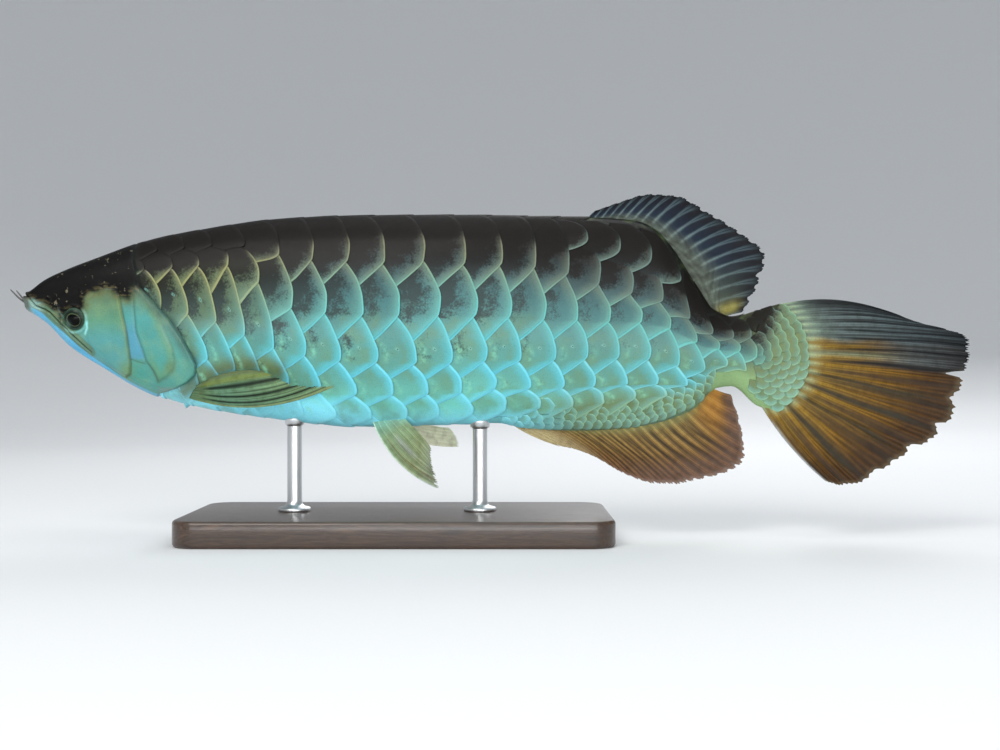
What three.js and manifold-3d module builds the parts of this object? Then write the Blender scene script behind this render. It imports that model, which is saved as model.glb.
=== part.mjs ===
// An adult Asian arowana, life size, as a still display model held over a flat base by two rods.
// Millimetres, +Z up. The head points to -X and the fish's left side faces -Y.
// The origin is at the middle of the underside of the base.
import * as THREE from "three";
import { mergeVertices } from "three/addons/utils/BufferGeometryUtils.js";
import Module from "manifold-3d";

const wasm = await Module();
wasm.setup();

// Driving dimensions
const axisHeight = 118; // the body's axis above the floor
const gap = 0.3; // between pieces that touch
const scaleRise = 1.25; // how far a large scale's rear edge stands off the skin
const fullPitch = 20; // length of body that one large scale shows
const gillPlate = 3.2; // thickness of a gill cover
const eyeRadius = 6.1;
const plateRise = 0.9; // of the cheek, the gill cover's bone and the eye's rim off the skin
const membraneRise = 0.2; // of the gill cover's soft margin
const lipRise = 0.6;
const rodRadius = 4;
const baseLength = 230;
const baseWidth = 112;
const baseThickness = 14;
const bodyWidth = 70; // more than the widest piece
const bodyHeight = 120; // more than any piece reaches from the axis
const seed = 7;

// The body from the snout to the tail's root. top and bottom are heights from the axis, half is the
// half-width, widest is where that width lies (0 at the bottom, 1 at the top), and back and belly say how
// full the sections are above and below it.
const stations = [
  { x: -205, top: 13.6, bottom: 8.6, half: 3.2, widest: 0.6, back: 2.2, belly: 2.0 }, // snout tip
  { x: -203.4, top: 15, bottom: 6.6, half: 6, widest: 0.6, back: 2.4, belly: 2.0 },
  { x: -200, top: 17, bottom: 4.6, half: 8.4, widest: 0.62, back: 2.6, belly: 2.0 }, // lips
  { x: -192, top: 22.8, bottom: -1, half: 11, widest: 0.64, back: 2.8, belly: 1.9 }, // nostrils
  { x: -180, top: 28.4, bottom: -13.2, half: 13.7, widest: 0.66, back: 3.0, belly: 1.9 }, // eye
  { x: -164, top: 34.6, bottom: -23.8, half: 16.6, widest: 0.64, back: 2.9, belly: 1.9 }, // end of the mouth
  { x: -136, top: 44.8, bottom: -39.2, half: 20.6, widest: 0.58, back: 2.4, belly: 1.9 }, // gill cover
  { x: -108, top: 50.6, bottom: -47, half: 22.8, widest: 0.56, back: 2.3, belly: 1.9 }, // shoulder
  { x: -66, top: 56.6, bottom: -53.4, half: 24.4, widest: 0.56, back: 2.2, belly: 1.9 },
  { x: -24, top: 58.6, bottom: -57.4, half: 24.8, widest: 0.56, back: 2.2, belly: 1.9 }, // pelvic fins
  { x: 32, top: 59, bottom: -57.2, half: 23.4, widest: 0.56, back: 2.1, belly: 1.9 },
  { x: 72, top: 58.4, bottom: -58.9, half: 20.8, widest: 0.56, back: 2.0, belly: 1.8 }, // anal fin
  { x: 102, top: 58, bottom: -60.2, half: 18.2, widest: 0.55, back: 1.9, belly: 1.7 }, // dorsal fin
  { x: 129, top: 56.2, bottom: -58.2, half: 15.4, widest: 0.54, back: 1.8, belly: 1.7 },
  { x: 140, top: 51.8, bottom: -56.4, half: 14.2, widest: 0.54, back: 1.8, belly: 1.7 },
  { x: 150, top: 41, bottom: -53.4, half: 12.8, widest: 0.54, back: 1.8, belly: 1.7 },
  { x: 164, top: 18.8, bottom: -46.4, half: 10.6, widest: 0.52, back: 1.8, belly: 1.8 },
  { x: 172, top: 7, bottom: -37, half: 9.2, widest: 0.5, back: 1.9, belly: 1.9 },
  { x: 182, top: 3.2, bottom: -35.6, half: 7.4, widest: 0.5, back: 2.0, belly: 2.0 }, // narrowest
  { x: 196, top: 6.6, bottom: -46.2, half: 4.6, widest: 0.5, back: 2.0, belly: 2.0 },
  { x: 210, top: 10.4, bottom: -50.4, half: 2.8, widest: 0.5, back: 2.2, belly: 2.2 },
  { x: 232, top: 12, bottom: -53, half: 1.9, widest: 0.5, back: 2.4, belly: 2.4 },
];
// The spine's slow bend from side to side, seen from above
const bend = [[-205, -4], [-120, -1.5], [0, 1.5], [110, 1], [182, -1.5], [232, -2]];
// Where the tail's scaled root ends: an arc seen from the side
const tailArc = { x: 187, z: -18.5, radius: 35.5 };

// Heights of the scale rows, as shares of the body's depth from the back, at stations along the body.
// Row 0 lies on the midline of the back and row 6 on that of the belly. Row 3 is the lateral line.
const rowStations = [-130, -93, -77, -52, 28, 75, 110, 138, 165, 200];
const rowDepths = [
  [0.08, 0.1, 0.11, 0.13, 0.155, 0.165, 0.25, 0.29, 0.26, 0.2],
  [0.19, 0.21, 0.27, 0.39, 0.41, 0.425, 0.445, 0.457, 0.44, 0.42],
  [0.37, 0.46, 0.53, 0.61, 0.645, 0.62, 0.6, 0.61, 0.63, 0.66],
  [0.6, 0.69, 0.735, 0.775, 0.785, 0.75, 0.725, 0.74, 0.78, 0.82],
  [0.8, 0.855, 0.88, 0.905, 0.91, 0.87, 0.86, 0.865, 0.885, 0.91],
];
const lastRow = 6;
const lateralRow = 3;
// Where the rear tips of the lateral line's scales lie, by the scale's number from the shoulder
const columnTips = [
  [-4, -173],
  [-1, -125.5],
  [0, -111],
  [4, -48],
  [8, 29.4],
  [12, 102],
  [16, 166.6],
  [18, 189.5],
  [21, 215],
  [24, 236],
];
const firstColumn = -2;
const lastColumn = 20;
// A scale's rear rim, from its upper end to its lower end: how far each point lies ahead of the tip in
// columns, off the scale's own row in rows, and off the skin as a share of the scale's rise
const rim = [
  { ahead: 0.54, off: -2 / 3, rise: 0 },
  { ahead: 0.23, off: -1 / 2, rise: 0.65 },
  { ahead: 0.04, off: -1 / 3, rise: 0.96 },
  { ahead: 0, off: 0, rise: 1 },
  { ahead: 0.04, off: 1 / 3, rise: 0.96 },
  { ahead: 0.23, off: 1 / 2, rise: 0.65 },
  { ahead: 0.54, off: 2 / 3, rise: 0 },
];
const middleRise = 0.44; // of a scale's middle, as a share of its rise
const shift = 0.05; // how unevenly the scales sit, as a share of their spacing
const columnLean = { head: 0.13, tail: -0.15, from: 0, to: 5 }; // of a column per row, as the columns slant

// A smooth curve through points that never overshoots between them
function curveThrough(points) {
  const count = points.length;
  const x = points.map((point) => point[0]);
  const y = points.map((point) => point[1]);
  const slope = [];
  for (let i = 0; i < count - 1; i++) slope.push((y[i + 1] - y[i]) / (x[i + 1] - x[i]));
  const tangent = [slope[0]];
  for (let i = 1; i < count - 1; i++) {
    const product = slope[i - 1] * slope[i];
    const before = x[i] - x[i - 1];
    const after = x[i + 1] - x[i];
    const weights = [2 * after + before, after + 2 * before];
    const mean = (weights[0] + weights[1]) / (weights[0] / slope[i - 1] + weights[1] / slope[i]);
    tangent.push(product > 0 ? mean : 0);
  }
  tangent.push(slope[count - 2]);
  return (at) => {
    if (at <= x[0]) return y[0] + tangent[0] * (at - x[0]);
    if (at >= x[count - 1]) return y[count - 1] + tangent[count - 1] * (at - x[count - 1]);
    let i = 0;
    while (at > x[i + 1]) i++;
    const span = x[i + 1] - x[i];
    const t = (at - x[i]) / span;
    const rest = 1 - t;
    return (
      y[i] * (1 + 2 * t) * rest * rest +
      tangent[i] * span * t * rest * rest +
      y[i + 1] * t * t * (3 - 2 * t) -
      tangent[i + 1] * span * t * t * rest
    );
  };
}

const stationCurve = (name) => curveThrough(stations.map((station) => [station.x, station[name]]));
const topAt = stationCurve("top");
const bottomAt = stationCurve("bottom");
const halfAt = stationCurve("half");
const widestAt = stationCurve("widest");
const backAt = stationCurve("back");
const bellyAt = stationCurve("belly");
const bendAt = curveThrough(bend);
const tipAt = curveThrough(columnTips);
const rowDepthAt = rowDepths.map((depths) =>
  curveThrough(depths.map((depth, i) => [rowStations[i], depth])),
);

// A point of the section at x. The angle runs from 0 at the back over the widest place to PI at the belly.
function sectionPoint(x, angle, side) {
  const top = topAt(x);
  const bottom = bottomAt(x);
  const widest = bottom + widestAt(x) * (top - bottom);
  const upper = angle < Math.PI / 2;
  const power = 2 / (upper ? backAt(x) : bellyAt(x));
  const reach = upper ? top - widest : widest - bottom;
  const across = halfAt(x) * Math.max(0, Math.sin(angle)) ** power;
  const along = reach * Math.abs(Math.cos(angle)) ** power * (upper ? 1 : -1);
  return new THREE.Vector3(x, bendAt(x) - side * across, axisHeight + widest + along);
}

// The angle where the section lies a share of its depth below the back
function angleAtDepth(x, share) {
  const widest = widestAt(x);
  const height = 1 - share;
  if (height >= widest) return Math.acos(((height - widest) / (1 - widest)) ** (backAt(x) / 2));
  return Math.PI - Math.acos(((widest - height) / widest) ** (bellyAt(x) / 2));
}

// A point lifted off the skin along its normal
function skinPoint(x, angle, side, lift) {
  const point = sectionPoint(x, angle, side);
  if (lift === 0) return point;
  const step = 0.02;
  const near = Math.min(Math.max(angle, step), Math.PI - step);
  const along = sectionPoint(x + 0.5, near, side).sub(sectionPoint(x - 0.5, near, side));
  const around = sectionPoint(x, near + step, side).sub(sectionPoint(x, near - step, side));
  const normal = along.cross(around).multiplyScalar(-side).normalize();
  if (angle < step || angle > Math.PI - step) normal.y = 0;
  return point.addScaledVector(normal.normalize(), lift);
}

// The coordinates of a place given by its height from the axis and its distance from the midline
const onAxis = (x, z, y = 0) => [x, bendAt(x) + y, axisHeight + z];

function geometryOf(points, faces) {
  const geometry = new THREE.BufferGeometry();
  const flat = points.flatMap((point) => [point.x, point.y, point.z]);
  geometry.setAttribute("position", new THREE.Float32BufferAttribute(flat, 3));
  geometry.setIndex(faces.flat());
  return geometry;
}

function solidOf(geometry) {
  const bare = geometry.clone();
  bare.deleteAttribute("normal");
  bare.deleteAttribute("uv");
  const merged = mergeVertices(bare, 1e-4);
  const vertProperties = merged.attributes.position.array;
  const triVerts = new Uint32Array(merged.index.array);
  return new wasm.Manifold(new wasm.Mesh({ numProp: 3, vertProperties, triVerts }));
}

const largestOf = (solid) =>
  solid.decompose().reduce((best, body) => (body.volume() > best.volume() ? body : best));

// A smooth length of the body between its first and last x, lifted off the skin or sunk under it
function loft(xs, around, lift) {
  const points = [];
  const faces = [];
  const ring = 2 * around;
  for (const x of xs) {
    for (let i = 0; i < ring; i++) {
      const side = i <= around ? 1 : -1;
      const angle = (Math.PI * (i <= around ? i : ring - i)) / around;
      points.push(skinPoint(x, angle, side, lift));
    }
  }
  for (let row = 0; row < xs.length - 1; row++) {
    for (let i = 0; i < ring; i++) {
      const a = row * ring + i;
      const b = row * ring + ((i + 1) % ring);
      faces.push([a, b, b + ring], [a, b + ring, a + ring]);
    }
  }
  for (const [row, turned] of [[0, false], [xs.length - 1, true]]) {
    const centre = points.length;
    const x = xs[row];
    points.push(new THREE.Vector3(x, bendAt(x), axisHeight + (topAt(x) + bottomAt(x)) / 2));
    for (let i = 0; i < ring; i++) {
      const a = row * ring + i;
      const b = row * ring + ((i + 1) % ring);
      faces.push(turned ? [centre, a, b] : [centre, b, a]);
    }
  }
  return solidOf(geometryOf(points, faces));
}

// A plate through the whole width of the body, from an outline seen from the left side
function plateThrough(outline, width = 2 * bodyWidth, middle = 0) {
  const shape = new THREE.Shape(outline.map(([x, z]) => new THREE.Vector2(x, z + axisHeight)));
  const geometry = new THREE.ExtrudeGeometry(shape, { depth: width, bevelEnabled: false });
  geometry.rotateX(Math.PI / 2).translate(0, middle + width / 2, 0);
  return solidOf(geometry);
}

// An even draw from 0 to 1 for a pair of whole numbers
function draw(i, j) {
  const value = Math.sin(i * 127.1 + j * 311.7 + seed) * 43758.5453;
  return value - Math.floor(value);
}

const leanAt = (a) =>
  THREE.MathUtils.lerp(
    columnLean.head,
    columnLean.tail,
    THREE.MathUtils.smoothstep(a, columnLean.from, columnLean.to),
  );

// A place on the net of scales: a counts columns towards the tail and row counts rows round the body,
// down the left side from 0 to 6 and down the right side from 0 to -6
function netPoint(a, row, height) {
  const turned = ((((row + lastRow) % (2 * lastRow)) + 2 * lastRow) % (2 * lastRow)) - lastRow;
  const side = turned < 0 ? -1 : 1;
  const down = Math.abs(turned);
  const x = tipAt(a + leanAt(a) * (down - lateralRow));
  const between = rowDepthAt.map((depthAt, i) => [i + 1, angleAtDepth(x, depthAt(x))]);
  const angleAt = curveThrough([[0, 0], ...between, [lastRow, Math.PI]]);
  const angle = THREE.MathUtils.clamp(angleAt(down), 0, Math.PI);
  const pitch = tipAt(a + 0.5) - tipAt(a - 0.5);
  return skinPoint(x, angle, side, (height * scaleRise * pitch) / fullPitch);
}

// The trunk with each large scale raised in its own surface: low where it comes out from under the scales
// ahead of it and high along its own rear rim
function scaledTrunk() {
  const points = [];
  const faces = [];
  const known = new Map();
  const netVertex = (a, row, height) => {
    const i = Math.round(a * 100);
    const j = Math.round((((row % (2 * lastRow)) + 2 * lastRow) % (2 * lastRow)) * 100);
    const key = [i, j, height].join();
    if (!known.has(key)) {
      const movedAlong = shift * (draw(i, j) - 0.5);
      const movedRound = j % (100 * lastRow) ? shift * (draw(j, i) - 0.5) : 0;
      const point = netPoint(a + movedAlong, row + movedRound, height);
      point.net = { a, row, j };
      known.set(key, points.length);
      points.push(point);
    }
    return known.get(key);
  };
  const face = (a, b, c) => {
    if (a !== b && b !== c && c !== a) faces.push([a, b, c]);
  };
  for (let row = 1 - lastRow; row <= lastRow; row++) {
    for (let column = firstColumn; column <= lastColumn; column++) {
      const a = column + (row % 2 ? 0 : 0.5);
      const low = rim.map(({ ahead, off }) => netVertex(a - ahead, row + off, 0));
      const high = rim.map(({ ahead, off, rise }) => netVertex(a - ahead, row + off, rise));
      // The shown part's front edge: the rims of the two scales beside it and the one ahead in its row
      const front = [
        netVertex(a - 0.5 - rim[1].ahead, row - 1 / 2, 0),
        ...rim.slice(2, 5).map(({ ahead, off }) => netVertex(a - 1 - ahead, row + off, 0)),
        netVertex(a - 0.5 - rim[5].ahead, row + 1 / 2, 0),
      ];
      const middle = points.length;
      points.push(netPoint(a - 0.5, row, middleRise));
      const outline = [low[0], ...front, low[6], ...high.slice(1, 6).reverse()];
      outline.forEach((from, i) => face(from, outline[(i + 1) % outline.length], middle));
      for (let i = 0; i < rim.length - 1; i++) {
        face(high[i], high[i + 1], low[i + 1]);
        face(high[i], low[i + 1], low[i]);
      }
    }
  }
  // Strips from the net's two open edges to a ring at each end, and a cap on each ring
  const edges = faces.flatMap(([a, b, c]) => [[a, b], [b, c], [c, a]]);
  const directed = new Set(edges.map((edge) => edge.join()));
  const open = edges.filter(([from, to]) => !directed.has([to, from].join()));
  const ends = { front: firstColumn - 2.2, rear: lastColumn + 2 };
  const caps = {};
  for (const name of ["front", "rear"]) {
    caps[name] = points.length;
    const x = tipAt(ends[name]);
    points.push(new THREE.Vector3(x, bendAt(x), axisHeight + (topAt(x) + bottomAt(x)) / 2));
  }
  const ringVertex = (index) => {
    const { a, row, j } = points[index].net;
    const name = a < (firstColumn + lastColumn) / 2 ? "front" : "rear";
    const key = name + j;
    if (!known.has(key)) {
      known.set(key, points.length);
      points.push(netPoint(ends[name], row, 0));
    }
    return [known.get(key), caps[name]];
  };
  for (const [from, to] of open) {
    const [ringFrom, cap] = ringVertex(from);
    const [ringTo] = ringVertex(to);
    face(to, from, ringFrom);
    face(to, ringFrom, ringTo);
    face(ringTo, ringFrom, cap);
  }
  return solidOf(geometryOf(points, faces));
}

// Side-view outlines on the head
const gillRear = [
  [-138.2, 18],
  [-130.7, 8.8],
  [-121, -4.5],
  [-113, -14.7],
  [-108.4, -25],
  [-107.6, -31],
  [-112, -36],
  [-121, -39.2],
  [-131, -39.6],
];
const gillFront = [
  [-143, -33],
  [-144.2, -26],
  [-144.6, -13.6],
  [-147, -1.8],
  [-149.8, 13.3],
  [-149.8, 17.5],
];
const gillOutline = [...gillRear, ...gillFront];
const headOutline = [[-146, 70], [-143, 32], ...gillRear, [-136, -44], [-138, -60], [-240, -60], [-240, 70]];
const opercleOutline = [
  [-141, 16.5],
  [-134, 9],
  [-128, -0.6],
  [-122.4, -12],
  [-119.1, -21.7],
  [-120.4, -29],
  [-127.1, -34.2],
  [-142, -32],
  [-153, -20],
  [-153, 17],
];
const cheekOutline = [
  [-168.6, 16.4],
  [-151.2, 17],
  [-151.2, 13.3],
  [-148.4, -1.8],
  [-146, -13.6],
  [-145.6, -25.6],
  [-149, -30],
  [-160, -24.6],
  [-163.6, -17],
  [-167.6, -9],
];
const gape = [
  [-200.6, 15.8],
  [-198.8, 11.8],
  [-196.6, 8.2],
  [-191.6, 5.7],
  [-182.3, -1],
  [-175.4, -6.9],
  [-170.1, -12.7],
  [-165.7, -16.7],
];
const jawOutline = [[-215, 16.6], ...gape, [-162.5, -21.5], [-160, -32], [-215, -32]];
const upperLip = [
  [-164, -15],
  [-168.8, -10.4],
  [-174, -4.4],
  [-181, 1.6],
  [-190, 8.6],
  [-194.6, 11.4],
  [-197, 16.4],
];
const lipOutline = [...gape, ...upperLip];
const eye = { x: -174.8, z: 1.2, proud: 2.1, flat: 0.46, rim: 1.4 };
const nostrils = [
  { x: -189.8, z: 11.6, radius: 0.9, wall: 0.4 },
  { x: -183.4, z: 7.4, radius: 0.7, wall: 0.4 },
];
const barbelRadius = 0.55;
const barbelRoute = [[-203.4, 2.4, 10.2], [-206.5, 3.2, 12.4], [-209.6, 4, 15.6], [-211.4, 4.6, 17.6]];

// An outline moved outwards by a distance
function grown(outline, distance) {
  const corners = outline.map(([x, z]) => new THREE.Vector2(x, z));
  const turn = Math.sign(THREE.ShapeUtils.area(corners));
  const outward = (from, to) =>
    new THREE.Vector2(to.y - from.y, from.x - to.x).normalize().multiplyScalar(turn);
  return corners.map((corner, i) => {
    const before = outward(corners.at(i - 1), corner);
    const after = outward(corner, corners[(i + 1) % corners.length]);
    const reach = distance / (1 + before.dot(after));
    return [corner.x + reach * (before.x + after.x), corner.y + reach * (before.y + after.y)];
  });
}

// A solid cut by the piece that it grows from, with a gap towards the sides that it grows to
function grownFrom(carrier, solid, sides) {
  let cut = solid;
  for (const [x, y, z] of sides) cut = cut.subtract(carrier.translate([x * gap, y * gap, z * gap]));
  return largestOf(cut);
}

// The place on the skin at a height from the axis, seen from the side, and the skin's direction there
function placeOnSkin(x, z, side) {
  const angle = angleAtDepth(x, (topAt(x) - z) / (topAt(x) - bottomAt(x)));
  const point = skinPoint(x, angle, side, 0);
  return { point, out: skinPoint(x, angle, side, 1).sub(point) };
}

// A geometry made round the Y axis, set on the skin and pointing out of it
function setOnSkin(geometry, { point, out }, lift) {
  geometry.applyQuaternion(new THREE.Quaternion().setFromUnitVectors(new THREE.Vector3(0, 1, 0), out));
  geometry.translate(...point.clone().addScaledVector(out, lift));
  return solidOf(geometry);
}

function eyeball(side, room) {
  const geometry = new THREE.SphereGeometry(1, 14, 8);
  geometry.scale(eyeRadius + room, eyeRadius * eye.flat + room, eyeRadius + room);
  return setOnSkin(geometry, placeOnSkin(eye.x, eye.z, side), eye.proud - eyeRadius * eye.flat);
}

const circle = (x, z, radius, count) =>
  Array.from({ length: count }, (_, i) => {
    const angle = (2 * Math.PI * i) / count;
    return [x + radius * Math.cos(angle), z + radius * Math.sin(angle)];
  });

function headPieces() {
  const snout = [-205, -204.4, -203.4, -201.6, -199, -196, -192, -187];
  const places = [...snout, -180, -172, -162, -150, -137, -122, -108];
  const bodied = (lift) => loft(places.map((x) => x - lift * 0.4), 10, lift);
  const smooth = bodied(0);
  const core = bodied(-gillPlate);
  const proud = bodied(plateRise);
  const orbit = circle(eye.x, eye.z, eyeRadius + eye.rim, 20);
  const plates = plateThrough(cheekOutline).add(plateThrough(orbit));
  let whole = smooth.intersect(plateThrough(headOutline));
  whole = whole.add(proud.intersect(plates.subtract(plateThrough(grown(jawOutline, lipRise)))));
  whole = whole.add(bodied(lipRise).intersect(plateThrough(lipOutline)));
  const covers = {};
  const room = plateThrough(grown(gillOutline, gap)).subtract(bodied(-gillPlate - gap));
  for (const [name, side] of [["left", 1], ["right", -1]]) {
    const half = plateThrough(gillOutline, bodyWidth, (-side * bodyWidth) / 2);
    const plate = proud.intersect(plateThrough(opercleOutline)).add(bodied(membraneRise));
    covers[name] = largestOf(plate.intersect(half).subtract(core));
    whole = whole.subtract(eyeball(side, gap));
    for (const { x, z, radius, wall } of nostrils) {
      const place = placeOnSkin(x, z, side);
      const tube = new THREE.CylinderGeometry(radius + wall, radius + 2 * wall, 3, 8);
      const bore = new THREE.CylinderGeometry(radius, radius, 3, 8);
      whole = whole.add(setOnSkin(tube, place, -0.8)).subtract(setOnSkin(bore, place, 0.2));
    }
  }
  const jaw = largestOf(whole.intersect(plateThrough(jawOutline)));
  const cut = plateThrough(grown(jawOutline, gap));
  const head = largestOf(whole.subtract(cut).subtract(room));
  return { head, jaw, covers };
}

// A fin as one closed sheet with its rays raised as ridges on both faces. A ray is a curve from its root
// to its tip. Between two rays the membrane is thin and ends a little short of their tips.
function finSheet(rays, { steps, crest, valley, tipShare = 0.4, notch = 0.02, outward }) {
  const columns = 2 * rays.length - 1;
  const centre = [];
  const half = [];
  for (let i = 0; i < columns; i++) {
    const ray = rays[i >> 1];
    const next = rays[(i + 1) >> 1];
    for (let j = 0; j <= steps; j++) {
      const reach = (j / steps) * (i % 2 ? 1 - notch : 1);
      const point = ray(reach).clone().lerp(next(reach), 0.5);
      centre.push(point);
      half.push((i % 2 ? valley : crest) * THREE.MathUtils.lerp(1, tipShare, j / steps));
    }
  }
  const at = (i, j) => centre[i * (steps + 1) + j];
  const clampTo = (value, top) => Math.min(Math.max(value, 0), top);
  const points = [];
  for (const face of [1, -1]) {
    for (let i = 0; i < columns; i++) {
      for (let j = 0; j <= steps; j++) {
        const along = at(i, clampTo(j + 1, steps)).clone().sub(at(i, clampTo(j - 1, steps)));
        const across = at(clampTo(i + 1, columns - 1), j).clone().sub(at(clampTo(i - 1, columns - 1), j));
        const normal = across.cross(along).normalize();
        if (normal.dot(outward) < 0) normal.negate();
        points.push(at(i, j).clone().addScaledVector(normal, face * half[i * (steps + 1) + j]));
      }
    }
  }
  const count = columns * (steps + 1);
  const faces = [];
  for (let i = 0; i < columns - 1; i++) {
    for (let j = 0; j < steps; j++) {
      const a = i * (steps + 1) + j;
      const b = a + steps + 1;
      faces.push([a, b, b + 1], [a, b + 1, a + 1]);
      faces.push([a + count, b + 1 + count, b + count], [a + count, a + 1 + count, b + 1 + count]);
    }
  }
  const rim = [];
  for (let i = 0; i < columns - 1; i++) rim.push(i * (steps + 1));
  for (let j = 0; j < steps; j++) rim.push((columns - 1) * (steps + 1) + j);
  for (let i = columns - 1; i > 0; i--) rim.push(i * (steps + 1) + steps);
  for (let j = steps; j > 0; j--) rim.push(j);
  rim.forEach((from, i) => {
    const to = rim[(i + 1) % rim.length];
    faces.push([to, from, from + count], [to, from + count, to + count]);
  });
  const sheet = solidOf(geometryOf(points, faces));
  return sheet.volume() > 0 ? sheet : solidOf(geometryOf(points, faces.map(([a, b, c]) => [a, c, b])));
}

// Rays spread evenly between a few key rays. Each key is root, tip and bow: how far the ray's middle
// stands off the straight line, as [x, y, z].
function spreadRays(keys, count) {
  const axes = ["x", "y", "z"];
  const curves = ["root", "tip", "bow"].map((part) =>
    axes.map((_, axis) => curveThrough(keys.map((key) => [key.at, key[part][axis]]))),
  );
  return Array.from({ length: count }, (_, i) => {
    const at = i / (count - 1);
    const [root, tip, bow] = curves.map((curve) => new THREE.Vector3(...curve.map((value) => value(at))));
    return (t) => root.clone().lerp(tip, t).addScaledVector(bow, 4 * t * (1 - t));
  });
}

// Upright fins on the midline. Roots start inside the body and are cut by its own surface.
const dorsalKeys = [
  { at: 0, root: [100, 54], tip: [107.8, 63.6], bow: [0, 0.4] },
  { at: 0.16, root: [112, 52], tip: [130, 72.4], bow: [0, 1] },
  { at: 0.26, root: [120, 50], tip: [143, 73.4], bow: [-0.5, 1.4] },
  { at: 0.36, root: [129, 47], tip: [157, 69.6], bow: [-1, 1.6] },
  { at: 0.52, root: [141, 38], tip: [176, 57.4], bow: [-1, 2.2] },
  { at: 0.68, root: [150.5, 27], tip: [191.5, 46.6], bow: [-1, 3] },
  { at: 0.78, root: [155, 18.5], tip: [201, 36.4], bow: [-0.5, 3.2] },
  { at: 0.86, root: [159, 12], tip: [198.4, 28.6], bow: [0, 2.4] },
  { at: 0.94, root: [165, 3.5], tip: [192, 17.4], bow: [0, 1] },
  { at: 1, root: [173, 0.5], tip: [186.4, 6.8], bow: [0, 0.4] },
];
const analKeys = [
  { at: 0, root: [60, -55], tip: [67, -63.2], bow: [0, 0.6] },
  { at: 0.12, root: [71, -56], tip: [92, -69.6], bow: [1, 0.8] },
  { at: 0.28, root: [87, -57], tip: [111, -74.6], bow: [1.5, 1] },
  { at: 0.44, root: [102.5, -57], tip: [129, -86], bow: [2, 1.5] },
  { at: 0.6, root: [119, -55.4], tip: [148, -89.4], bow: [2.6, 2] },
  { at: 0.74, root: [134, -53], tip: [166, -87.2], bow: [3, 2] },
  { at: 0.86, root: [147, -48], tip: [183, -83.4], bow: [3, 2] },
  { at: 0.94, root: [158, -42], tip: [190, -74.4], bow: [2.4, 1.8] },
  { at: 1, root: [166, -34], tip: [184, -44], bow: [1, 0.5] },
];
const caudalKeys = [
  { at: 0, root: [208, 9.6], tip: [285, -1.4], bow: [0, 7.2] },
  { at: 0.1, root: [213.5, 3.4], tip: [300, -5], bow: [0, 5.6] },
  { at: 0.22, root: [217.5, -5], tip: [313.6, -8.2], bow: [0, 3.6] },
  { at: 0.36, root: [220, -15], tip: [312.6, -21], bow: [0, 2] },
  { at: 0.48, root: [220.4, -23], tip: [304.4, -29.4], bow: [0, 0.6] },
  { at: 0.6, root: [218, -32], tip: [303, -46.4], bow: [-1, -1] },
  { at: 0.72, root: [214, -39], tip: [290, -64], bow: [-1, -3] },
  { at: 0.82, root: [209.6, -43], tip: [268.6, -80.4], bow: [-2, -3.4] },
  { at: 0.92, root: [204.6, -46], tip: [245, -89], bow: [-3, -3.2] },
  { at: 1, root: [199.5, -45], tip: [229, -84.4], bow: [-2, -3.4] },
];

const uprightRay = (waveAt) => (key) => ({
  at: key.at,
  root: onAxis(...key.root),
  tip: [key.tip[0], bendAt(Math.min(key.tip[0], 232)) + waveAt(key), axisHeight + key.tip[1]],
  bow: [key.bow[0], -0.22 * waveAt(key), key.bow[1]],
});

// Paired fins: each key gives the root and tip from the axis as [x, outward, height]
const pectoralKeys = [
  { at: 0, root: [-112, 13, -41.5], tip: [-30.2, 40, -34.6], bow: [0, 3, -8] },
  { at: 0.2, root: [-111.2, 13.5, -40.2], tip: [-39.7, 37, -34.6], bow: [0, 3, -6.6] },
  { at: 0.4, root: [-110.4, 14, -39], tip: [-48, 34.4, -34.6], bow: [0, 2.6, -4.8] },
  { at: 0.6, root: [-109.6, 14.5, -37.8], tip: [-56, 32, -33.2], bow: [0, 2.2, -2.8] },
  { at: 0.8, root: [-108.6, 15, -36.4], tip: [-64, 29.4, -30], bow: [0, 1.8, -1] },
  { at: 1, root: [-107.6, 15.6, -35], tip: [-72, 27, -28.2], bow: [0, 1.4, 0.8] },
];
const pelvicRoots = { at: [0, 0.35, 0.7, 1], x: [-17, -12.5, -7, -1.5], out: [5, 6, 7, 7.6], z: -53 };
const pelvicTips = {
  left: [
    { tip: [22.4, 21, -90], bow: [-3, 0, -3] },
    { tip: [20.4, 21.4, -82.8], bow: [-1, 0, -1] },
    { tip: [18.4, 21, -76], bow: [0, 0, 1] },
    { tip: [17.6, 20, -68.6], bow: [0, 0, 1] },
  ],
  right: [
    { tip: [32.4, 31, -70.2], bow: [-1, 0, -5] },
    { tip: [31, 29.6, -65.6], bow: [0, 0, -3] },
    { tip: [29, 28, -62], bow: [0, 0, -2] },
    { tip: [26.5, 26, -59.2], bow: [0, 0, -1] },
  ],
};
const pelvicKeys = (name) =>
  pelvicTips[name].map(({ tip, bow }, i) => ({
    at: pelvicRoots.at[i],
    root: [pelvicRoots.x[i], pelvicRoots.out[i], pelvicRoots.z],
    tip,
    bow,
  }));
const pairedRay = (side) => (key) => ({
  at: key.at,
  root: onAxis(key.root[0], key.root[2], -side * key.root[1]),
  tip: onAxis(key.tip[0], key.tip[2], -side * key.tip[1]),
  bow: [key.bow[0], -side * key.bow[1], key.bow[2]],
});

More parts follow.
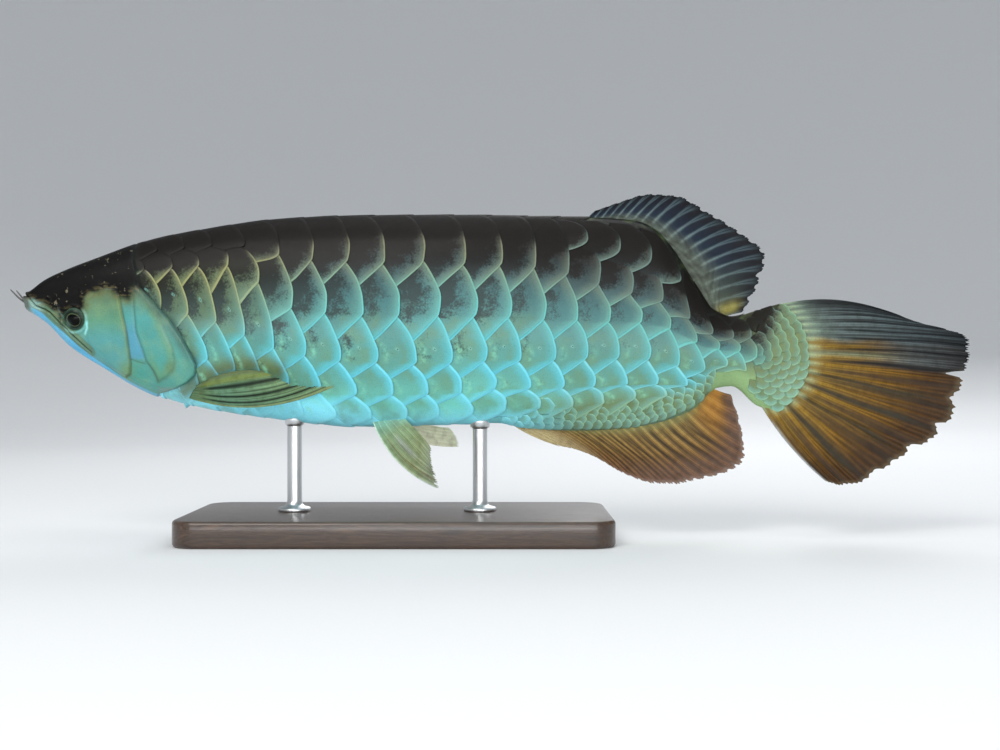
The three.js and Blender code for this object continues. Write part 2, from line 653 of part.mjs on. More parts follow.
const finish = {
  skin: { color: 0x7fa08c, roughness: 0.4, metalness: 0.1 },
  back: { color: 0x4a4438, roughness: 0.5, metalness: 0.05 },
  fin: { color: 0xa0632a, roughness: 0.5, metalness: 0 },
  eye: { color: 0x14120f, roughness: 0.1, metalness: 0 },
  wood: { color: 0x2c2320, roughness: 0.5, metalness: 0 },
  metal: { color: 0xb9bcc0, roughness: 0.3, metalness: 1 },
};
const model = new THREE.Group();
function addNode(name, solid, look) {
  const { numProp, vertProperties, triVerts } = solid.getMesh();
  const points = [];
  for (let i = 0; i < vertProperties.length; i += numProp) points.push(...vertProperties.slice(i, i + 3));
  const geometry = new THREE.BufferGeometry();
  geometry.setAttribute("position", new THREE.Float32BufferAttribute(points, 3));
  geometry.setIndex([...triVerts]);
  geometry.computeVertexNormals();
  const mesh = new THREE.Mesh(geometry, new THREE.MeshStandardMaterial(finish[look]));
  mesh.name = name;
  model.add(mesh);
  return solid;
}

// Head, lower jaw, gill covers and eyes
const { head, jaw, covers } = headPieces();
addNode("head", head, "back");
addNode("lower_jaw", jaw, "skin");
for (const [name, side] of [["left", 1], ["right", -1]]) {
  addNode("gill_cover_" + name, covers[name], "skin");
  addNode("eye_" + name, eyeball(side, 0), "eye");
  const route = barbelRoute.map(([x, out, z]) => new THREE.Vector3(...onAxis(x, z, -side * out)));
  const barbel = new THREE.CatmullRomCurve3(route);
  const section = new THREE.Shape().absarc(0, 0, barbelRadius, 0, 2 * Math.PI);
  const whisker = new THREE.ExtrudeGeometry(section, { steps: 5, curveSegments: 3, extrudePath: barbel });
  addNode("barbel_" + name, grownFrom(jaw, solidOf(whisker), [[0, 0, 0], [-1, 0, 1]]), "back");
}

// Torso and tail: the scaled trunk behind the gill covers, parted at the vent
const vent = 56;
const tailRoot = circle(tailArc.x, tailArc.z, tailArc.radius, 24);
const lengthOf = (from, to) =>
  plateThrough([[from, -bodyHeight], [to, -bodyHeight], [to, bodyHeight], [from, bodyHeight]]);
const trunk = scaledTrunk();
const behindHead = largestOf(trunk.subtract(plateThrough(grown(headOutline, gap))));
const ahead = lengthOf(stations[0].x, vent - gap / 2);
const behind = lengthOf(vent + gap / 2, tailArc.x).add(plateThrough(tailRoot));
const torso = addNode("torso", largestOf(behindHead.intersect(ahead)), "skin");
const tail = addNode("tail", largestOf(behindHead.intersect(behind)), "skin");

// Fins
const midline = new THREE.Vector3(0, -1, 0);
const behindScales = [[1, 0, 0], [0, 1, 0], [0, -1, 0], [0.7, 0, 0.7], [0.7, 0, -0.7]];
const dorsalRays = spreadRays(dorsalKeys.map(uprightRay((key) => 3 * Math.sin(5 * key.at))), 19);
const dorsal = finSheet(dorsalRays, {
  steps: 4,
  crest: 0.85,
  valley: 0.38,
  notch: 0.05,
  outward: midline,
});
addNode("dorsal_fin", grownFrom(tail, dorsal, [...behindScales, [0, 0, 1]]), "fin");
const analRays = spreadRays(analKeys.map(uprightRay((key) => -2.4 * Math.sin(4 * key.at))), 23);
const anal = finSheet(analRays, {
  steps: 4,
  crest: 0.8,
  valley: 0.36,
  notch: 0.02,
  outward: midline,
});
addNode("anal_fin", grownFrom(tail, anal, [...behindScales, [0, 0, -1]]), "fin");
const caudalRays = spreadRays(caudalKeys.map(uprightRay((key) => 7 * Math.cos(3.4 * key.at) - 2)), 17);
const caudal = finSheet(caudalRays, {
  steps: 6,
  crest: 1.05,
  valley: 0.42,
  notch: 0.03,
  outward: midline,
});
addNode("caudal_fin", grownFrom(tail, caudal, [...behindScales, [0, 0, 1], [0, 0, -1]]), "fin");
for (const [name, side] of [["left", 1], ["right", -1]]) {
  const up = new THREE.Vector3(0, -side * 0.5, 1);
  const pectoral = finSheet(spreadRays(pectoralKeys.map(pairedRay(side)), 7), {
    steps: 7,
    crest: 0.9,
    valley: 0.38,
    outward: up,
  });
  addNode("pectoral_fin_" + name, grownFrom(torso, pectoral, [[0, 0, 0], [0.8, -side, 0]]), "fin");
  const pelvic = finSheet(spreadRays(pelvicKeys(name).map(pairedRay(side)), 6), {
    steps: 6,
    crest: 0.75,
    valley: 0.36,
    outward: up,
  });
  const away = [[1, 0, 0], [0, -side, 0], [0, side, 0], [0, 0, -1]];
  addNode("pelvic_fin_" + name, grownFrom(torso, pelvic, away), "fin");
}

// Stand: a flat base with eased edges, and two rods with a foot ring each, cut to the belly
const corner = 14;
const baseBevel = 2;
const plan = new THREE.Shape();
const [hx, hy] = [baseLength / 2 - baseBevel, baseWidth / 2 - baseBevel];
plan.absarc(hx - corner, hy - corner, corner, 0, Math.PI / 2);
plan.absarc(corner - hx, hy - corner, corner, Math.PI / 2, Math.PI);
plan.absarc(corner - hx, corner - hy, corner, Math.PI, 1.5 * Math.PI);
plan.absarc(hx - corner, corner - hy, corner, 1.5 * Math.PI, 2 * Math.PI);
const slab = new THREE.ExtrudeGeometry(plan, {
  depth: baseThickness - 2 * baseBevel,
  bevelThickness: baseBevel,
  bevelSize: baseBevel,
  bevelSegments: 1,
  curveSegments: 3,
});
slab.translate(0, 0, baseBevel);
addNode("stand_base", solidOf(slab), "wood");
const rodPlaces = { front: -58, rear: 44 };
for (const [name, x] of Object.entries(rodPlaces)) {
  const foot = baseThickness + gap;
  const profile = [[0, foot], [9, foot], [9, foot + 2], [rodRadius + 1, foot + 4], [rodRadius, foot + 6]];
  const stem = [...profile, [rodRadius, axisHeight - 30], [0, axisHeight - 30]];
  const lathe = new THREE.LatheGeometry(stem.map(([r, z]) => new THREE.Vector2(r, z)), 16);
  lathe.rotateX(Math.PI / 2).translate(x, bendAt(x), 0);
  const under = [[0, 0, -1], [1, 0, -1], [-0.8, 0.8, -1], [-0.8, -0.8, -1]];
  addNode("stand_rod_" + name, grownFrom(torso, solidOf(lathe), under), "metal");
}

export default model;
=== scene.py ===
import math

import bpy
import numpy as np
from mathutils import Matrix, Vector


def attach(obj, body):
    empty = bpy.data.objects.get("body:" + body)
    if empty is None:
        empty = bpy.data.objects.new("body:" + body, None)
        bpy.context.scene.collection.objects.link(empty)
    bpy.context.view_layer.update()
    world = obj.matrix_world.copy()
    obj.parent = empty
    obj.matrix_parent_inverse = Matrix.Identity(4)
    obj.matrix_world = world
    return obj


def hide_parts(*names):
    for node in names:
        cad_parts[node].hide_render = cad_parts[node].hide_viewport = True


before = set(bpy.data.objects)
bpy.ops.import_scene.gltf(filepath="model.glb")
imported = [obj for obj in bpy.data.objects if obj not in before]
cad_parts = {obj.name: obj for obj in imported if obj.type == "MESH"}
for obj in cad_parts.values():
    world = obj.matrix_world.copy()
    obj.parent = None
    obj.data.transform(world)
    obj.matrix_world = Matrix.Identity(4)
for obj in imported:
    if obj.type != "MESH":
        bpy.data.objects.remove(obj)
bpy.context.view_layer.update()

# An arowana, life size, on its display stand. Shapes are worked out in millimetres and become metres as
# they go into a mesh. The head points to -X, the fish's left side faces -Y.
mm = 0.001
dice = np.random.default_rng(11)


# Curves

class Curve:  # smooth through points, never overshooting between them
    def __init__(self, points):
        self.x, self.y = np.array(points, float).T
        step = np.diff(self.x)
        slope = np.diff(self.y) / step
        inner = []
        for i in range(1, len(step)):
            before, after = step[i - 1], step[i]
            if slope[i - 1] * slope[i] <= 0:
                inner.append(0)
                continue
            weights = 2 * after + before, after + 2 * before
            inner.append(sum(weights) / (weights[0] / slope[i - 1] + weights[1] / slope[i]))
        self.tangent = np.array([slope[0], *inner, slope[-1]])

    def __call__(self, at):
        at = np.asarray(at, float)
        inside = np.clip(at, self.x[0], self.x[-1])
        i = np.clip(np.searchsorted(self.x, inside, side="right") - 1, 0, len(self.x) - 2)
        span = self.x[i + 1] - self.x[i]
        t = (inside - self.x[i]) / span
        rest = 1 - t
        value = self.y[i] * (1 + 2 * t) * rest * rest + self.tangent[i] * span * t * rest * rest
        value = value + self.y[i + 1] * t * t * (3 - 2 * t) - self.tangent[i + 1] * span * t * t * rest
        before, after = np.minimum(at - self.x[0], 0), np.maximum(at - self.x[-1], 0)
        return value + before * self.tangent[0] + after * self.tangent[-1]


def ease(low, high, value):
    t = np.clip((value - low) / (high - low), 0, 1)
    return t * t * (3 - 2 * t)


def bump(distance, width):
    return np.exp(-((distance / width) ** 2))


def blendTo(colour, other, share):
    share = np.asarray(share)[..., None]
    return colour * (1 - share) + np.array(other) * share


def layered(colour, *coats):  # each coat is a colour and its share
    for other, share in coats:
        colour = blendTo(colour, other, share)
    return colour


def crossed(first, second, share):  # from the first colour to the second, both given at every point
    return first * (1 - share[..., None]) + second * share[..., None]


def ramp(stops, value):  # colours between stops, given as (place, colour)
    places = [place for place, _ in stops]
    return np.stack([np.interp(value, places, [stop[1][i] for stop in stops]) for i in range(3)], -1)


def tint(*display):  # a colour as a screen shows it, 0 to 255, in linear values
    return (np.array(display) / 255) ** 2.2


def stopsOf(*stops):  # stops of a ramp, given as (place, red, green, blue) as a screen shows them
    return [(place, tint(*display)) for place, *display in stops]


def shades(value, *stops):
    return ramp(stopsOf(*stops), value)


def lineDistance(line, x, z):
    nearest = np.full(np.shape(x), 1e9)
    for (x0, z0), (x1, z1) in zip(line[:-1], line[1:]):
        run = (x1 - x0) ** 2 + (z1 - z0) ** 2
        t = np.clip(((x - x0) * (x1 - x0) + (z - z0) * (z1 - z0)) / run, 0, 1)
        nearest = np.minimum(nearest, np.hypot(x - x0 - t * (x1 - x0), z - z0 - t * (z1 - z0)))
    return nearest


def depthInside(outline, x, z):  # distance to a closed outline, above 0 inside it
    closed = [*outline, outline[0]]
    inside = np.zeros(np.shape(x), bool)
    for (x0, z0), (x1, z1) in zip(closed[:-1], closed[1:]):
        if z0 != z1:
            crossing = x0 + (z - z0) * (x1 - x0) / (z1 - z0)
            inside ^= ((z0 > z) != (z1 > z)) & (x < crossing)
    return lineDistance(closed, x, z) * np.where(inside, 1, -1)


# The body's form

body = {
    "axis": 118,  # height of the body's axis above the floor
    "stations": [  # x, top and bottom, half-width, where it is widest, fullness of back and belly
        (-205, 13.6, 8.6, 3.2, 0.6, 2.2, 2.0),
        (-203.4, 15, 6.6, 6, 0.6, 2.4, 2.0),
        (-200, 17, 4.6, 8.4, 0.62, 2.6, 2.0),
        (-192, 22.8, -1, 11, 0.64, 2.8, 1.9),
        (-180, 28.4, -13.2, 13.7, 0.66, 3.0, 1.9),
        (-164, 34.6, -23.8, 16.6, 0.64, 2.9, 1.9),
        (-136, 44.8, -39.2, 20.6, 0.58, 2.4, 1.9),
        (-108, 50.6, -47, 22.8, 0.56, 2.3, 1.9),
        (-66, 56.6, -53.4, 24.4, 0.56, 2.2, 1.9),
        (-24, 58.6, -57.4, 24.8, 0.56, 2.2, 1.9),
        (32, 59, -56.2, 23.4, 0.56, 2.1, 1.9),
        (55, 58.8, -55.9, 21.9, 0.56, 2.05, 1.85),
        (68, 58.5, -58.4, 21, 0.56, 2.0, 1.8),
        (102, 58, -60.2, 18.2, 0.55, 1.9, 1.7),
        (129, 56.2, -58.2, 15.4, 0.54, 1.8, 1.7),
        (140, 51.8, -56.4, 14.2, 0.54, 1.8, 1.7),
        (150, 41, -53.4, 12.8, 0.54, 1.8, 1.7),
        (164, 18.8, -46.4, 10.6, 0.52, 1.8, 1.8),
        (172, 7, -37, 9.2, 0.5, 1.9, 1.9),
        (182, 3.2, -35.6, 7.4, 0.5, 2.0, 2.0),
        (196, 6.6, -46.2, 4.6, 0.5, 2.0, 2.0),
        (210, 10.4, -50.4, 2.8, 0.5, 2.2, 2.2),
        (232, 12, -53, 1.9, 0.5, 2.4, 2.4),
    ],
    # x, and how far the body's middle lies from the plane y = 0
    "bend": [(-205, -4), (-120, -1.5), (0, 1.5), (110, 1), (182, -1.5), (232, -2)],
    "tailArc": (187, -18.5, 35.5),  # centre and radius of the end of the scaled root, seen from the side
    # x of the places where the depths of the rows are given
    "rowPlaces": [-130, -93, -77, -52, 28, 75, 110, 138, 165, 200],
    "rowDepths": [  # rows 1 to 5 of scales, as shares of the depth below the back
        [0.08, 0.1, 0.12, 0.16, 0.184, 0.185, 0.265, 0.325, 0.3, 0.2],
        [0.175, 0.18, 0.255, 0.4, 0.425, 0.44, 0.455, 0.462, 0.445, 0.43],
        [0.37, 0.47, 0.545, 0.625, 0.66, 0.637, 0.615, 0.63, 0.655, 0.67],
        [0.6, 0.7, 0.757, 0.802, 0.815, 0.78, 0.764, 0.775, 0.79, 0.82],
        [0.8, 0.868, 0.903, 0.932, 0.932, 0.878, 0.85, 0.836, 0.865, 0.91],
    ],
    "lastRow": 6,
    "lateralRow": 3,
    "columnTips": [  # number of a lateral line scale, and x of its rear tip
        (-4, -173), (-1, -125.5), (0, -111), (4, -48), (8, 30),
        (12, 102.6), (16, 166.6), (18, 189.5), (21, 215), (24, 236),
    ],
    # a column's slant per row
    "columnLean": [(1, 0.13), (4, -0.1), (6, -0.1), (9, -0.22), (14, -0.22), (16, -0.15)],
    "sinkUnderScales": 0.25,
}
stationX = [station[0] for station in body["stations"]]
stationCurves = [Curve(list(zip(stationX, [s[i] for s in body["stations"]]))) for i in range(1, 7)]
topAt, bottomAt, halfAt, widestAt, backAt, bellyAt = stationCurves
bendAt = Curve(body["bend"])
tipAt = Curve(body["columnTips"])
leanAt = Curve(body["columnLean"])
rowDepthAt = [Curve(list(zip(body["rowPlaces"], depths))) for depths in body["rowDepths"]]


def sectionPoint(x, angle, side):  # angle runs from 0 at the back to pi at the belly; side is 1 on the left
    top, bottom = topAt(x), bottomAt(x)
    widest = bottom + widestAt(x) * (top - bottom)
    upper = angle < np.pi / 2
    power = 2 / np.where(upper, backAt(x), bellyAt(x))
    reach = np.where(upper, top - widest, widest - bottom)
    across = halfAt(x) * np.clip(np.sin(angle), 0, None) ** power
    along = reach * np.abs(np.cos(angle)) ** power * np.where(upper, 1, -1)
    return np.stack([x, bendAt(x) - side * across, body["axis"] + widest + along], -1)


def unit(vectors):
    return vectors / np.maximum(np.linalg.norm(vectors, axis=-1, keepdims=True), 1e-12)


def skinNormal(x, angle, side):
    step = 0.02
    near = np.clip(angle, step, np.pi - step)
    along = sectionPoint(x + 0.5, near, side) - sectionPoint(x - 0.5, near, side)
    around = sectionPoint(x, near + step, side) - sectionPoint(x, near - step, side)
    normal = unit(np.cross(along, around) * -np.asarray(side)[..., None])
    middle = ease(0, 3 * step, np.minimum(angle, np.pi - angle))
    normal[..., 1] *= middle
    return unit(normal)


def skinPoint(x, angle, side, lift):
    return sectionPoint(x, angle, side) + skinNormal(x, angle, side) * np.asarray(lift)[..., None]


def angleAtDepth(x, share):
    widest = widestAt(x)
    height = 1 - np.clip(share, 0, 1)
    above = np.clip((height - widest) / (1 - widest), 0, 1) ** (backAt(x) / 2)
    below = np.clip((widest - height) / widest, 0, 1) ** (bellyAt(x) / 2)
    return np.where(height >= widest, np.arccos(above), np.pi - np.arccos(below))


def depthAt(x, z):  # share of the depth below the back for a height above the floor
    return np.clip((topAt(x) - z + body["axis"]) / (topAt(x) - bottomAt(x)), 0, 1)


def netPlace(column, row):  # x, angle and side of a place on the net of scales
    last = body["lastRow"]
    turned = (row + last) % (2 * last) - last
    side = np.where(turned < 0, -1, 1)
    down = np.abs(turned)
    x = tipAt(column + leanAt(np.clip(column, 1, 16)) * (down - body["lateralRow"]))
    knots = np.stack([
        np.zeros_like(x),
        *[angleAtDepth(x, depth(x)) for depth in rowDepthAt],
        np.full_like(x, np.pi),
    ])
    slope = np.diff(knots, axis=0)
    middle = 2 * slope[:-1] * slope[1:] / (slope[:-1] + slope[1:])
    tangent = np.concatenate([slope[:1], middle, slope[-1:]])
    i = np.clip(down.astype(int), 0, last - 1)[None]
    t = down - i[0]
    pick = lambda table, index: np.take_along_axis(table, index, 0)[0]
    angle = (
        pick(knots, i) * (1 + 2 * t) * (1 - t) ** 2
        + pick(tangent, i) * t * (1 - t) ** 2
        + pick(knots, i + 1) * t * t * (3 - 2 * t)
        - pick(tangent, i + 1) * t * t * (1 - t)
    )
    return x, np.clip(angle, 0, np.pi), side


# Making meshes

def switch(mode):
    bpy.ops.object.mode_set(mode=mode)


def deselect():
    if bpy.context.object and bpy.context.object.mode != "OBJECT":
        switch("OBJECT")
    bpy.ops.object.select_all(action="DESELECT")


def takeName(name):
    piece = bpy.context.object
    piece.name = name
    piece.data.name = name
    return piece


def applyAll(piece):
    bpy.context.view_layer.objects.active = piece
    for modifier in [m.name for m in piece.modifiers]:
        bpy.ops.object.modifier_apply(modifier=modifier)


def coordinatesOf(piece):
    flat = np.empty(len(piece.data.vertices) * 3, np.float32)
    piece.data.vertices.foreach_get("co", flat)
    return flat.reshape(-1, 3).astype(float)


def setCoordinates(piece, points):
    piece.data.vertices.foreach_set("co", np.asarray(points, np.float32).ravel())
    piece.data.update()


def gridSheet(name, columns, rows):  # a flat sheet, with u and v from 0 to 1 for its vertices
    deselect()
    bpy.ops.mesh.primitive_grid_add(x_subdivisions=columns, y_subdivisions=rows, size=2)
    piece = takeName(name)
    place = (coordinatesOf(piece)[:, :2] + 1) / 2
    return piece, place[:, 0], place[:, 1]


def gridSlab(name, columns, rows):  # the same with two faces: face is 1 on the front and -1 on the back
    piece = gridSheet(name, columns, rows)[0]
    solid = piece.modifiers.new("Thickness", "SOLIDIFY")
    solid.thickness = 2
    solid.offset = 0
    applyAll(piece)
    place = coordinatesOf(piece)
    return piece, (place[:, 0] + 1) / 2, (place[:, 1] + 1) / 2, np.sign(place[:, 2])


def sleeve(name, points):  # a closed tube from rings of points, given as rings x points of a ring x 3
    rings, around = points.shape[:2]
    piece, u, v = gridSheet(name, rings - 1, around)
    ring = np.rint(u * (rings - 1)).astype(int)
    step = np.rint(v * around).astype(int) % around
    setCoordinates(piece, points[ring, step] * mm)
    switch("EDIT")
    bpy.ops.mesh.select_all(action="SELECT")
    bpy.ops.mesh.remove_doubles(threshold=1e-7)
    bpy.ops.mesh.select_all(action="DESELECT")
    bpy.ops.mesh.select_non_manifold()
    bpy.ops.mesh.fill_holes(sides=0)
    faceOutwards()
    return piece


def addNumbers(piece, name, values):
    layer = piece.data.attributes.new(name, "FLOAT", "POINT")
    layer.data.foreach_set("value", np.asarray(values, np.float32))


def addColours(piece, name, values):
    layer = piece.data.attributes.new(name, "FLOAT_COLOR", "POINT")
    colours = np.concatenate([values, np.ones((len(values), 1))], 1)
    layer.data.foreach_set("color", colours.astype(np.float32).ravel())


def cornerVertices(mesh):
    corners = np.empty(len(mesh.loops), np.int32)
    mesh.loops.foreach_get("vertex_index", corners)
    return corners


def faceOfCorner(mesh):
    totals = np.empty(len(mesh.polygons), np.int32)
    mesh.polygons.foreach_get("loop_total", totals)
    return np.repeat(np.arange(len(totals)), totals), totals


def slabCorners(piece, front, back, face):  # map places of a slab's corners, its edge faces kept narrow
    corners = cornerVertices(piece.data)
    faces, totals = faceOfCorner(piece.data)
    balance = np.bincount(faces, face[corners])
    isWall = (np.abs(balance) < totals)[faces]
    places = np.where((face[corners] > 0)[:, None], front[corners], back[corners])
    middle = front.mean(0)
    outward = middle + (front[corners] - middle) * np.where(face[corners] > 0, 1, 1.015)[:, None]
    return np.where(isWall[:, None], outward, places)


def addBakeMap(piece, cornerPlaces):
    for old in list(piece.data.uv_layers):
        piece.data.uv_layers.remove(old)
    layer = piece.data.uv_layers.new(name="OFBake")
    layer.data.foreach_set("uv", cornerPlaces.astype(np.float32).ravel())


def pick(piece):
    deselect()
    piece.select_set(True)
    bpy.context.view_layer.objects.active = piece


def faceOutwards():  # of the active piece
    switch("EDIT")
    bpy.ops.mesh.select_all(action="SELECT")
    bpy.ops.mesh.normals_make_consistent(inside=False)
    switch("OBJECT")


def smooth(piece, angle=None):
    pick(piece)
    if angle is None:
        bpy.ops.object.shade_smooth()
    else:
        bpy.ops.object.shade_smooth_by_angle(angle=math.radians(angle))
    piece.select_set(False)


def settle(piece):  # puts the object's own place into its mesh
    pick(piece)
    bpy.ops.object.transform_apply(location=True, rotation=True, scale=True)
    piece.select_set(False)


def finishPiece(piece, material, slot, *nodes):
    piece.data.materials.clear()
    piece.data.materials.append(material)
    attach(piece, "root")
    if nodes:
        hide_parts(*nodes)
    return piece


def copiesOf(name, template, pointsOfCopy):  # one mesh of many copies, each with the points given for it
    mesh = template.data
    corners = cornerVertices(mesh)
    totals = np.array([len(face.vertices) for face in mesh.polygons])
    count = len(mesh.vertices)
    copies = len(pointsOfCopy)
    allCorners = (corners[None] + np.arange(copies)[:, None] * count).ravel()
    starts = np.concatenate([[0], np.cumsum(np.tile(totals, copies))[:-1]])
    joined = bpy.data.meshes.new(name)
    joined.vertices.add(count * copies)
    joined.loops.add(len(allCorners))
    joined.polygons.add(len(totals) * copies)
    joined.vertices.foreach_set("co", (np.concatenate(pointsOfCopy) * mm).astype(np.float32).ravel())
    joined.loops.foreach_set("vertex_index", allCorners.astype(np.int32))
    joined.polygons.foreach_set("loop_start", starts.astype(np.int32))
    joined.update(calc_edges=True)
    joined.validate()
    piece = bpy.data.objects.new(name, joined)
    bpy.context.scene.collection.objects.link(piece)
    return piece


# Shader helpers

class Signal:  # a socket that takes part in Python sums
    def __init__(self, paint, socket):
        self.paint, self.socket = paint, socket

    def math(self, operation, *others):
        inputs = dict(enumerate([self, *others]))
        return self.paint.node("ShaderNodeMath", {"operation": operation}, inputs)

    def __add__(self, other):
        return self.math("ADD", other)

    def __mul__(self, other):
        return self.math("MULTIPLY", other)

    def __sub__(self, other):
        return self.math("SUBTRACT", other)

    def __rsub__(self, other):
        return self.paint.node("ShaderNodeMath", {"operation": "SUBTRACT"}, {0: other, 1: self})

    def between(self, low, high):  # 0 below low, 1 above high, eased
        settings = {"interpolation_type": "SMOOTHSTEP"}
        return self.paint.node("ShaderNodeMapRange", settings, {"Value": self, 1: low, 2: high})


class Paint:  # one material and its nodes
    def __init__(self, name):
        self.material = bpy.data.materials.new(name)
        self.material.use_nodes = True
        self.tree = self.material.node_tree
        self.tree.nodes.clear()
        self.output = self.tree.nodes.new("ShaderNodeOutputMaterial")

    def node(self, kind, settings, inputs, output=0):
        made = self.tree.nodes.new(kind)
        for name, value in settings.items():
            if name == "stops":
                while len(made.color_ramp.elements) < len(value):
                    made.color_ramp.elements.new(0.5)
                for element, (place, colour) in zip(made.color_ramp.elements, value):
                    element.position = place
                    element.color = (*colour, 1)
            else:
                setattr(made, name, value)
        for name, value in inputs.items():
            if isinstance(value, Signal):
                self.tree.links.new(value.socket, made.inputs[name])
            elif made.inputs[name].type == "RGBA":
                made.inputs[name].default_value = (*value, 1)
            else:
                made.inputs[name].default_value = value
        return Signal(self, made.outputs[output])

    def place(self):
        return self.node("ShaderNodeTexCoord", {}, {}, "Object")

    def attribute(self, name, output="Fac"):
        return self.node("ShaderNodeAttribute", {"attribute_name": name}, {}, output)

    def noise(self, scale, detail=2, stretch=None, distortion=0):
        place = self.place()
        if stretch:
            place = self.node("ShaderNodeMapping", {}, {"Vector": place, "Scale": stretch})
        inputs = {"Vector": place, "Scale": scale, "Detail": detail, "Distortion": distortion}
        return self.node("ShaderNodeTexNoise", {}, inputs, "Fac")

    def mix(self, share, first, second, mode="MIX"):
        settings = {"data_type": "RGBA", "blend_type": mode}
        return self.node("ShaderNodeMix", settings, {0: share, 6: first, 7: second}, 2)

    def grained(self, colour, *grains):  # noise: its scale, detail, range, strength, colour and mode
        for size, detail, reach, strength, other, mode in grains:
            share = self.noise(size, detail).between(*reach) * strength
            colour = self.mix(share, colour, other, mode)
        return colour

    def relief(self, height, strength, distance):
        inputs = {"Height": height, "Strength": strength, "Distance": distance}
        return self.node("ShaderNodeBump", {}, inputs)

    def surface(self, colour, **inputs):
        named = {name.replace("_", " "): value for name, value in inputs.items()}
        shader = self.node("ShaderNodeBsdfPrincipled", {}, {"Base Color": colour, **named})
        self.tree.links.new(shader.socket, self.output.inputs["Surface"])
        return self.material


# Colours of the body

hue = {
    "crown": (14, 14, 13), "shadowBehindGill": (52, 60, 64), "snout": (78, 76, 70), "lip": (132, 168, 160),
    "lipOlive": (86, 112, 88), "jawBlue": (88, 170, 212), "throat": (108, 196, 222),
    "cheekTop": (84, 102, 80), "cheekMiddle": (86, 136, 112), "cheekLow": (83, 147, 147),
    "yellowGreen": (112, 138, 76), "olive": (86, 96, 58), "wrinkle": (100, 92, 62),
    "coverTop": (86, 108, 84), "coverMiddle": (74, 142, 138), "coverLow": (76, 152, 138),
    "bluePatch": (84, 146, 172), "membrane": (82, 146, 137), "isthmus": (124, 140, 132),
    "paleCyan": (150, 226, 226), "orbit": (52, 74, 58), "stalk": (126, 156, 108),
    "warm": (100, 108, 64), "warmRim": (134, 166, 122), "greyRim": (88, 112, 108),
    "oliveRim": (136, 136, 88), "oliveScale": (86, 98, 66), "gillShade": (70, 94, 84),
    "patch": (100, 128, 88),
}
hue = {name: tint(*display) for name, display in hue.items()}
centreStops = stopsOf(
    (0.0, 22, 20, 20), (0.14, 42, 43, 42), (0.28, 59, 79, 80), (0.42, 69, 111, 112), (0.58, 80, 132, 126),
    (0.76, 91, 152, 142), (0.9, 108, 190, 176), (1.0, 140, 234, 252),
)
bandStops = stopsOf(
    (0.0, 30, 28, 26), (0.14, 58, 60, 56), (0.28, 82, 98, 90), (0.42, 84, 132, 126), (0.58, 78, 150, 150),
    (0.76, 84, 170, 178), (0.9, 106, 198, 204), (1.0, 142, 236, 253),
)
rimStops = stopsOf(
    (0.0, 44, 41, 40), (0.09, 56, 53, 48), (0.13, 112, 112, 92), (0.2, 116, 122, 98), (0.3, 110, 144, 124),
    (0.42, 96, 170, 162), (0.58, 96, 184, 194), (0.76, 102, 194, 214), (0.9, 118, 208, 226),
    (1.0, 146, 236, 253),
)
darkShift = Curve([
    (-205, 0.02), (-140, 0.13), (-90, 0.08), (0, 0), (60, 0.02), (112, 0.12), (150, 0.17), (185, 0.13),
    (222, 0.04),
])


def toneOf(x, share):  # 0 on the dark back, 1 on the belly
    # painted glow: the front of the lower flank and belly made lighter
    glow = 0.1 * ease(-5, -60, x) * ease(0.78, 0.92, share)
    return np.clip(share - darkShift(x) * (1 - share) + glow, 0, 1)


def warmRear(x, share):  # yellow-green towards the base of the anal fin and the tail's lower root
    low = ease(0.76, 0.92, share) * ease(45, 112, x)
    root = ease(184, 205, x) * ease(0.4, 0.85, share)
    root = np.maximum(root, 0.6 * ease(196, 206, x) * ease(0.2, 0.45, share))
    under = 0.8 * ease(158, 176, x) * ease(0.5, 0.85, share)
    flank = 0.2 * ease(60, 125, x) * ease(0.42, 0.66, share)
    return np.clip(low + root + under + flank + 0.25 * ease(176, 196, x), 0, 1)


def scaleColours(x, share):  # of the middle, the band inside the rim, and the rim
    z = topAt(x) - share * (topAt(x) - bottomAt(x))
    # painted shadow of the pectoral fin on the flank, in olive
    shadow = bump(fromLine("finShade", x, z), 5.5)
    tone = toneOf(x, share)
    warm = 0.88 * warmRear(x, share)
    front = ease(-40, -100, x) * ease(0.1, 0.2, tone) * ease(0.62, 0.4, tone)
    grey = 0.8 * ease(50, 110, x) * ease(0.36, 0.24, tone)
    coats = (
        (centreStops, ("warm", warm), ("oliveScale", 0.7 * front), ("olive", 0.9 * shadow)),
        (bandStops, ("warm", 0.8 * warm), ("oliveScale", 0.6 * front), ("olive", 0.9 * shadow)),
        (rimStops, ("warmRim", warm), ("oliveRim", 0.85 * front), ("greyRim", grey), ("olive", 0.6 * shadow)),
    )
    return [
        layered(ramp(stops, tone), *[(hue[name], part) for name, part in found]) for stops, *found in coats
    ]


# The skin

